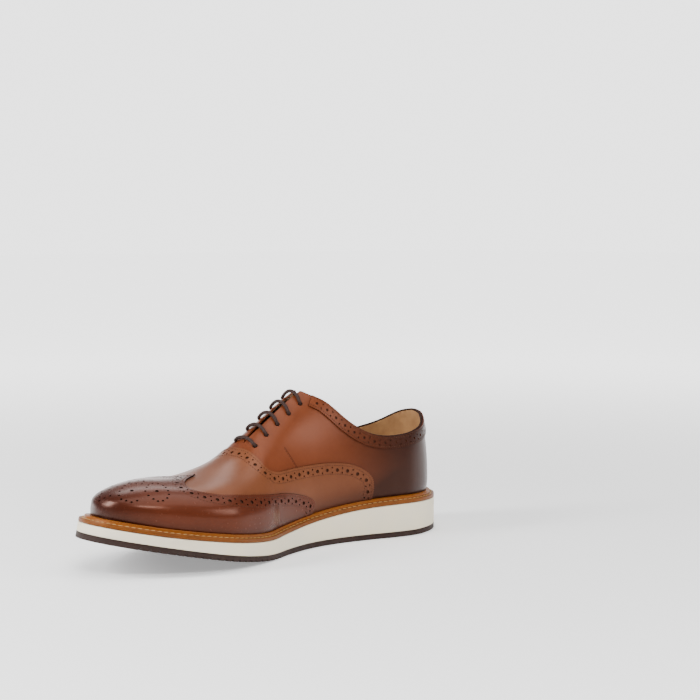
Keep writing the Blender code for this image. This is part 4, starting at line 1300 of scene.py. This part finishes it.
def foam(name, base):
    """Off-white EVA foam, moulded: a fine closed-cell skin, matt, a little soiled."""
    made, tree, shader, spot = new_material(name, base, 0.55, Subsurface_Weight=0.05,
                                            Subsurface_Radius=(0.004, 0.003, 0.002))
    tone = blend(tree, ramp(tree, noise(tree, spot, 18, 3.0), (0.35, 0.75), (0, 0.5)), base, "DDD6C6")
    surface(tree, shader, tone, noise(tree, spot, 0.6, 3.0), 0.06 * MM, 0.4)
    return made


def rubber(name, base):
    """Dark brown moulded rubber: low sheen, dusty, with the fine grain of its mould."""
    made, tree, shader, spot = new_material(name, base, 0.6, Specular_IOR_Level=0.2)
    tone = blend(tree, ramp(tree, noise(tree, spot, 12, 4.0), (0.35, 0.7), (0, 0.4)), base, "3A2C27")
    surface(tree, shader, tone, noise(tree, spot, 0.5, 3.0), 0.08 * MM, 0.5)
    return made


def lace_cloth(name, base, dark):
    """Round waxed cotton lace: braided strands that cross, read from the cord's own UV map."""
    made, tree, shader, _ = new_material(name, base, 0.6, Specular_IOR_Level=0.2)
    split = add(tree, "SeparateXYZ", {0: add(tree, "UVMap", uv_map="UVMap").outputs[0]})
    along = sums(tree, "MULTIPLY", split.outputs[0], LACE_TURNS)
    strands = []
    for hand in (1, -1):
        wound = sums(tree, "MULTIPLY_ADD", split.outputs[1], LACE_STRANDS * hand, along)
        strands.append(sums(tree, "SINE", sums(tree, "MULTIPLY", wound, 2 * math.pi)))
    height = sums(tree, "MAXIMUM", *strands)
    # Painted shade: the colour darkens towards the hollows between the strands.
    surface(tree, shader, blend(tree, ramp(tree, height, (-0.2, 1.0)), dark, base), height, 0.06 * MM, 0.5)
    return made


def soft_lining(name, base, dark):
    """Unglazed lining leather: pale tan, matt, faintly mottled."""
    made, tree, shader, spot = new_material(name, base, 0.7)
    tone = blend(tree, ramp(tree, noise(tree, spot, 6, 5.0), (0.35, 0.7)), base, dark)
    pores = add(tree, "TexVoronoi", {"Vector": spot, "Scale": per_mm(0.6)}, feature="DISTANCE_TO_EDGE")
    surface(tree, shader, tone, pores.outputs["Distance"], 0.05 * MM, 0.5)
    return made


def paint(obj, burnish_and_shade_at):
    """Store how dark each point of a piece is painted, from its place on the shoe: partly burnish, partly
    painted shade.
    """
    co = np.zeros(len(obj.data.vertices) * 3)
    obj.data.vertices.foreach_get("co", co)
    x, _, z = co.reshape(-1, 3).T
    height = z - ground(x) - welt_top(x)
    attribute = obj.data.attributes.new("burnish_and_shade", "FLOAT", "POINT")
    attribute.data.foreach_set("value", np.clip(burnish_and_shade_at(x, height), 0, 1).astype(np.float32))
    return obj


# Cap: burnish darkens the toe; near the welt the darkening is painted shade.
def cap_burnish_and_shade(x, height):
    toe = smooth(place(0.86), place(0.985), x)
    foot = 0.45 * (1 - smooth(0, 9 * MM, height))
    return 0.12 + 0.75 * toe + foot


# Vamp: painted shade, darker towards the heel where the light falls off, and near the welt.
def vamp_painted_shade(x, height):
    back = 0.25 * smooth(place(0.50), place(0.25), x)
    return back + 0.7 * (1 - smooth(1 * MM, 20 * MM, height))


# Quarters, collar band and tongue: towards the heel partly burnish, partly painted shade where the light
# falls off; near the welt painted shade.
def quarter_burnish_and_shade(x, height):
    heel = 0.94 * smooth(place(0.42), place(0.14), x)
    foot = 0.5 * (1 - smooth(0, 24 * MM, height))
    return 0.05 + heel + foot


# Welt: the flange, its groove and its cut edge, below the rib, take the dark tone.
def welt_below_rib_dark(_, height):
    return np.where(height > 0.4 * MM, 0.0, 0.6)


# The shoe

def medallion():
    """Toe ornament as (places, hole size): the medial half and its mirror image."""
    found = []
    for big, size in ((0, MEDALLION_SMALL), (1, MEDALLION_BIG)):
        half = np.array([row[:2] for row in MEDALLION if row[2] == big])
        found.append((np.vstack([half, half[half[:, 1] > 0] * (1, -1)]), size))
    return found


def dress():
    # Painted shade: the walls of punched holes and the strips behind them take this dark colour for the shade
    # inside the holes.
    hole = raw_edge("shaded_leather_flesh", "46281A")
    brown_thread = thread("tonal_brown_thread", "43220F")
    pale_thread = thread("natural_welt_thread", "B08850")
    # The cut edges' dark colours are partly inking, partly painted shade along the pinked edges.
    quarter_looks = (calf("quarter_calf", "743A20", "602D15", "1C0805", 0.30),
                     raw_edge("quarter_cut_edge", "4A2212"), hole, brown_thread)
    vamp_looks = (calf("vamp_calf", "75442A", "633720", "35170C", 0.30),
                  raw_edge("vamp_cut_edge", "43230F"), hole, brown_thread)
    cap_looks = (calf("cap_calf", "5A2817", "4B2010", "200906", 0.25),
                 raw_edge("cap_cut_edge", "260F08"), hole, brown_thread)
    paint(build_quarters(quarter_looks), quarter_burnish_and_shade)
    build_lining(soft_lining("lining_leather", "A87C4E", "946A42"))
    paint(edged_overlay("vamp", VAMP_EDGE, CLEARANCE, 300, vamp_looks), vamp_painted_shade)
    cap = edged_overlay("wing_cap", CAP_EDGE, CAP_LIFT, 280, cap_looks, medallion())
    paint(cap, cap_burnish_and_shade)
    toe_backing(hole)
    paint(build_collar_band(quarter_looks), quarter_burnish_and_shade)
    seam("dart_seam", catmull(DART, 8, False), quarter_looks[1], brown_thread, 0.0, (0.9 * MM,))
    heel = np.stack([np.full(40, 1e-6), np.linspace(collar_share(0, 0) + 0.1, 0.97, 40)], axis=1)
    seam("heel_seam", heel, quarter_looks[1], brown_thread, 0.0, ())
    build_binding(raw_edge("topline_binding_calf", "2A1710"))
    paint(build_tongue(calf("tongue_calf", "74381F", "5F2B14", "2E120B", 0.4)), quarter_burnish_and_shade)
    build_lace(lace_cloth("waxed_cotton_lace", "38231D", "1C0F0C"))
    build_welt(welt_strip("welt_leather", "8A4E16", "472711"), pale_thread)
    paint(bpy.data.objects["welt_leather"], welt_below_rib_dark)
    build_midsole(foam("eva_foam", "E8DCC0"))
    build_outsole(rubber("brown_rubber", "2A1B16"))
    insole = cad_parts["insole"]
    insole.data.materials.clear()
    insole.data.materials.append(soft_lining("sock_leather", "9C7448", "8A653E"))


def camera():
    """The photograph's view: from the toe and medial side, a little above the floor."""
    aim = Vector((0.112, 0, 0.020))
    yaw, rise, distance = math.radians(41), math.radians(4.35), 1.100
    shift_right, shift_up = -0.058, -0.118
    back = Vector((math.sin(yaw) * math.cos(rise), math.cos(yaw) * math.cos(rise), math.sin(rise)))
    right = Vector((-math.cos(yaw), math.sin(yaw), 0))
    up = back.cross(right)
    made = bpy.data.cameras.new("camera")
    made.sensor_width = 36
    made.lens = 1563 / 700 * made.sensor_width     # 1563 picture elements in a picture of 700
    obj = new_object("camera", made)
    turn = Matrix((right, up, back)).transposed().to_4x4()
    obj.matrix_world = Matrix.Translation(aim + back * distance - right * shift_right - up * shift_up) @ turn
    bpy.context.scene.camera = obj


def lamp(name, where, aim, size, power):
    made = bpy.data.lights.new(name, "AREA")
    made.shape = "RECTANGLE"
    made.size, made.size_y = size
    made.energy = power
    obj = new_object(name, made)
    obj.location = where
    obj.rotation_euler = (Vector(aim) - Vector(where)).to_track_quat("-Z", "Y").to_euler()


def studio():
    """Pale floor under a softbox, with lamps at the toe, the side, the heel and behind.

    Floor and surround glow softly away from the shoe, so the background stays pale. The floor's glow is
    painted light, and being weakest at the shoe it paints a darker pool round it.
    """
    bm = bmesh.new()
    bmesh.ops.create_grid(bm, x_segments=1, y_segments=1, size=FLOOR_HALF)
    floor = new_object("floor", to_mesh("floor", bm))
    made, tree, shader, spot = new_material("glowing_pale_floor", "F2F2F2", 0.7, Specular_IOR_Level=0.1,
                                            Emission_Color=(1, 1, 1, 1))
    floor.data.materials.append(made)
    away = add(tree, "VectorMath", {0: spot}, operation="LENGTH").outputs["Value"]
    # painted light: the floor glows, weakest at the shoe, which paints a darker pool round it
    glow = ramp(tree, away, (0.1, 1.6), (NEAR_GLOW, FLOOR_GLOW), interpolation_type="SMOOTHSTEP")
    tree.links.new(glow, shader.inputs["Emission Strength"])
    world = bpy.data.worlds.new("surround")
    world.use_nodes = True
    tree = world.node_tree
    direction = add(tree, "TexCoord").outputs["Generated"]
    height = add(tree, "SeparateXYZ", {0: direction}).outputs[2]
    behind = add(tree, "VectorMath", {0: direction, 1: BEHIND}, operation="DOT_PRODUCT").outputs["Value"]
    glow = sums(tree, "MULTIPLY", ramp(tree, height, (0.16, 0.24), (1, 0)), ramp(tree, behind, (0.75, 0.92)))
    power = sums(tree, "MULTIPLY_ADD", glow, BACK_GLOW, SURROUND)
    shell = tree.nodes["Background"]
    shell.inputs[0].default_value = (1, 1, 1, 1)
    tree.links.new(power, shell.inputs[1])
    bpy.context.scene.world = world
    lamp("overhead", (0.15, 0.30, 1.5), (0.15, 0.2, 0), (1.7, 1.4), 21)
    lamp("toe_side", (1.0, -0.35, 0.62), (0.22, 0, 0.04), (0.26, 0.6), 14)
    lamp("key", (0.70, 0.97, 1.12), (0.15, 0, 0.05), (0.6, 0.14), 10)
    lamp("heel_side", (-0.45, 1.05, 0.62), (0.05, 0, 0.06), (0.3, 0.45), 4.5)
    lamp("behind", (-0.36, -0.82, 0.98), (0.18, 0, 0.06), (0.6, 0.3), 2.2)


dress()
camera()
studio()
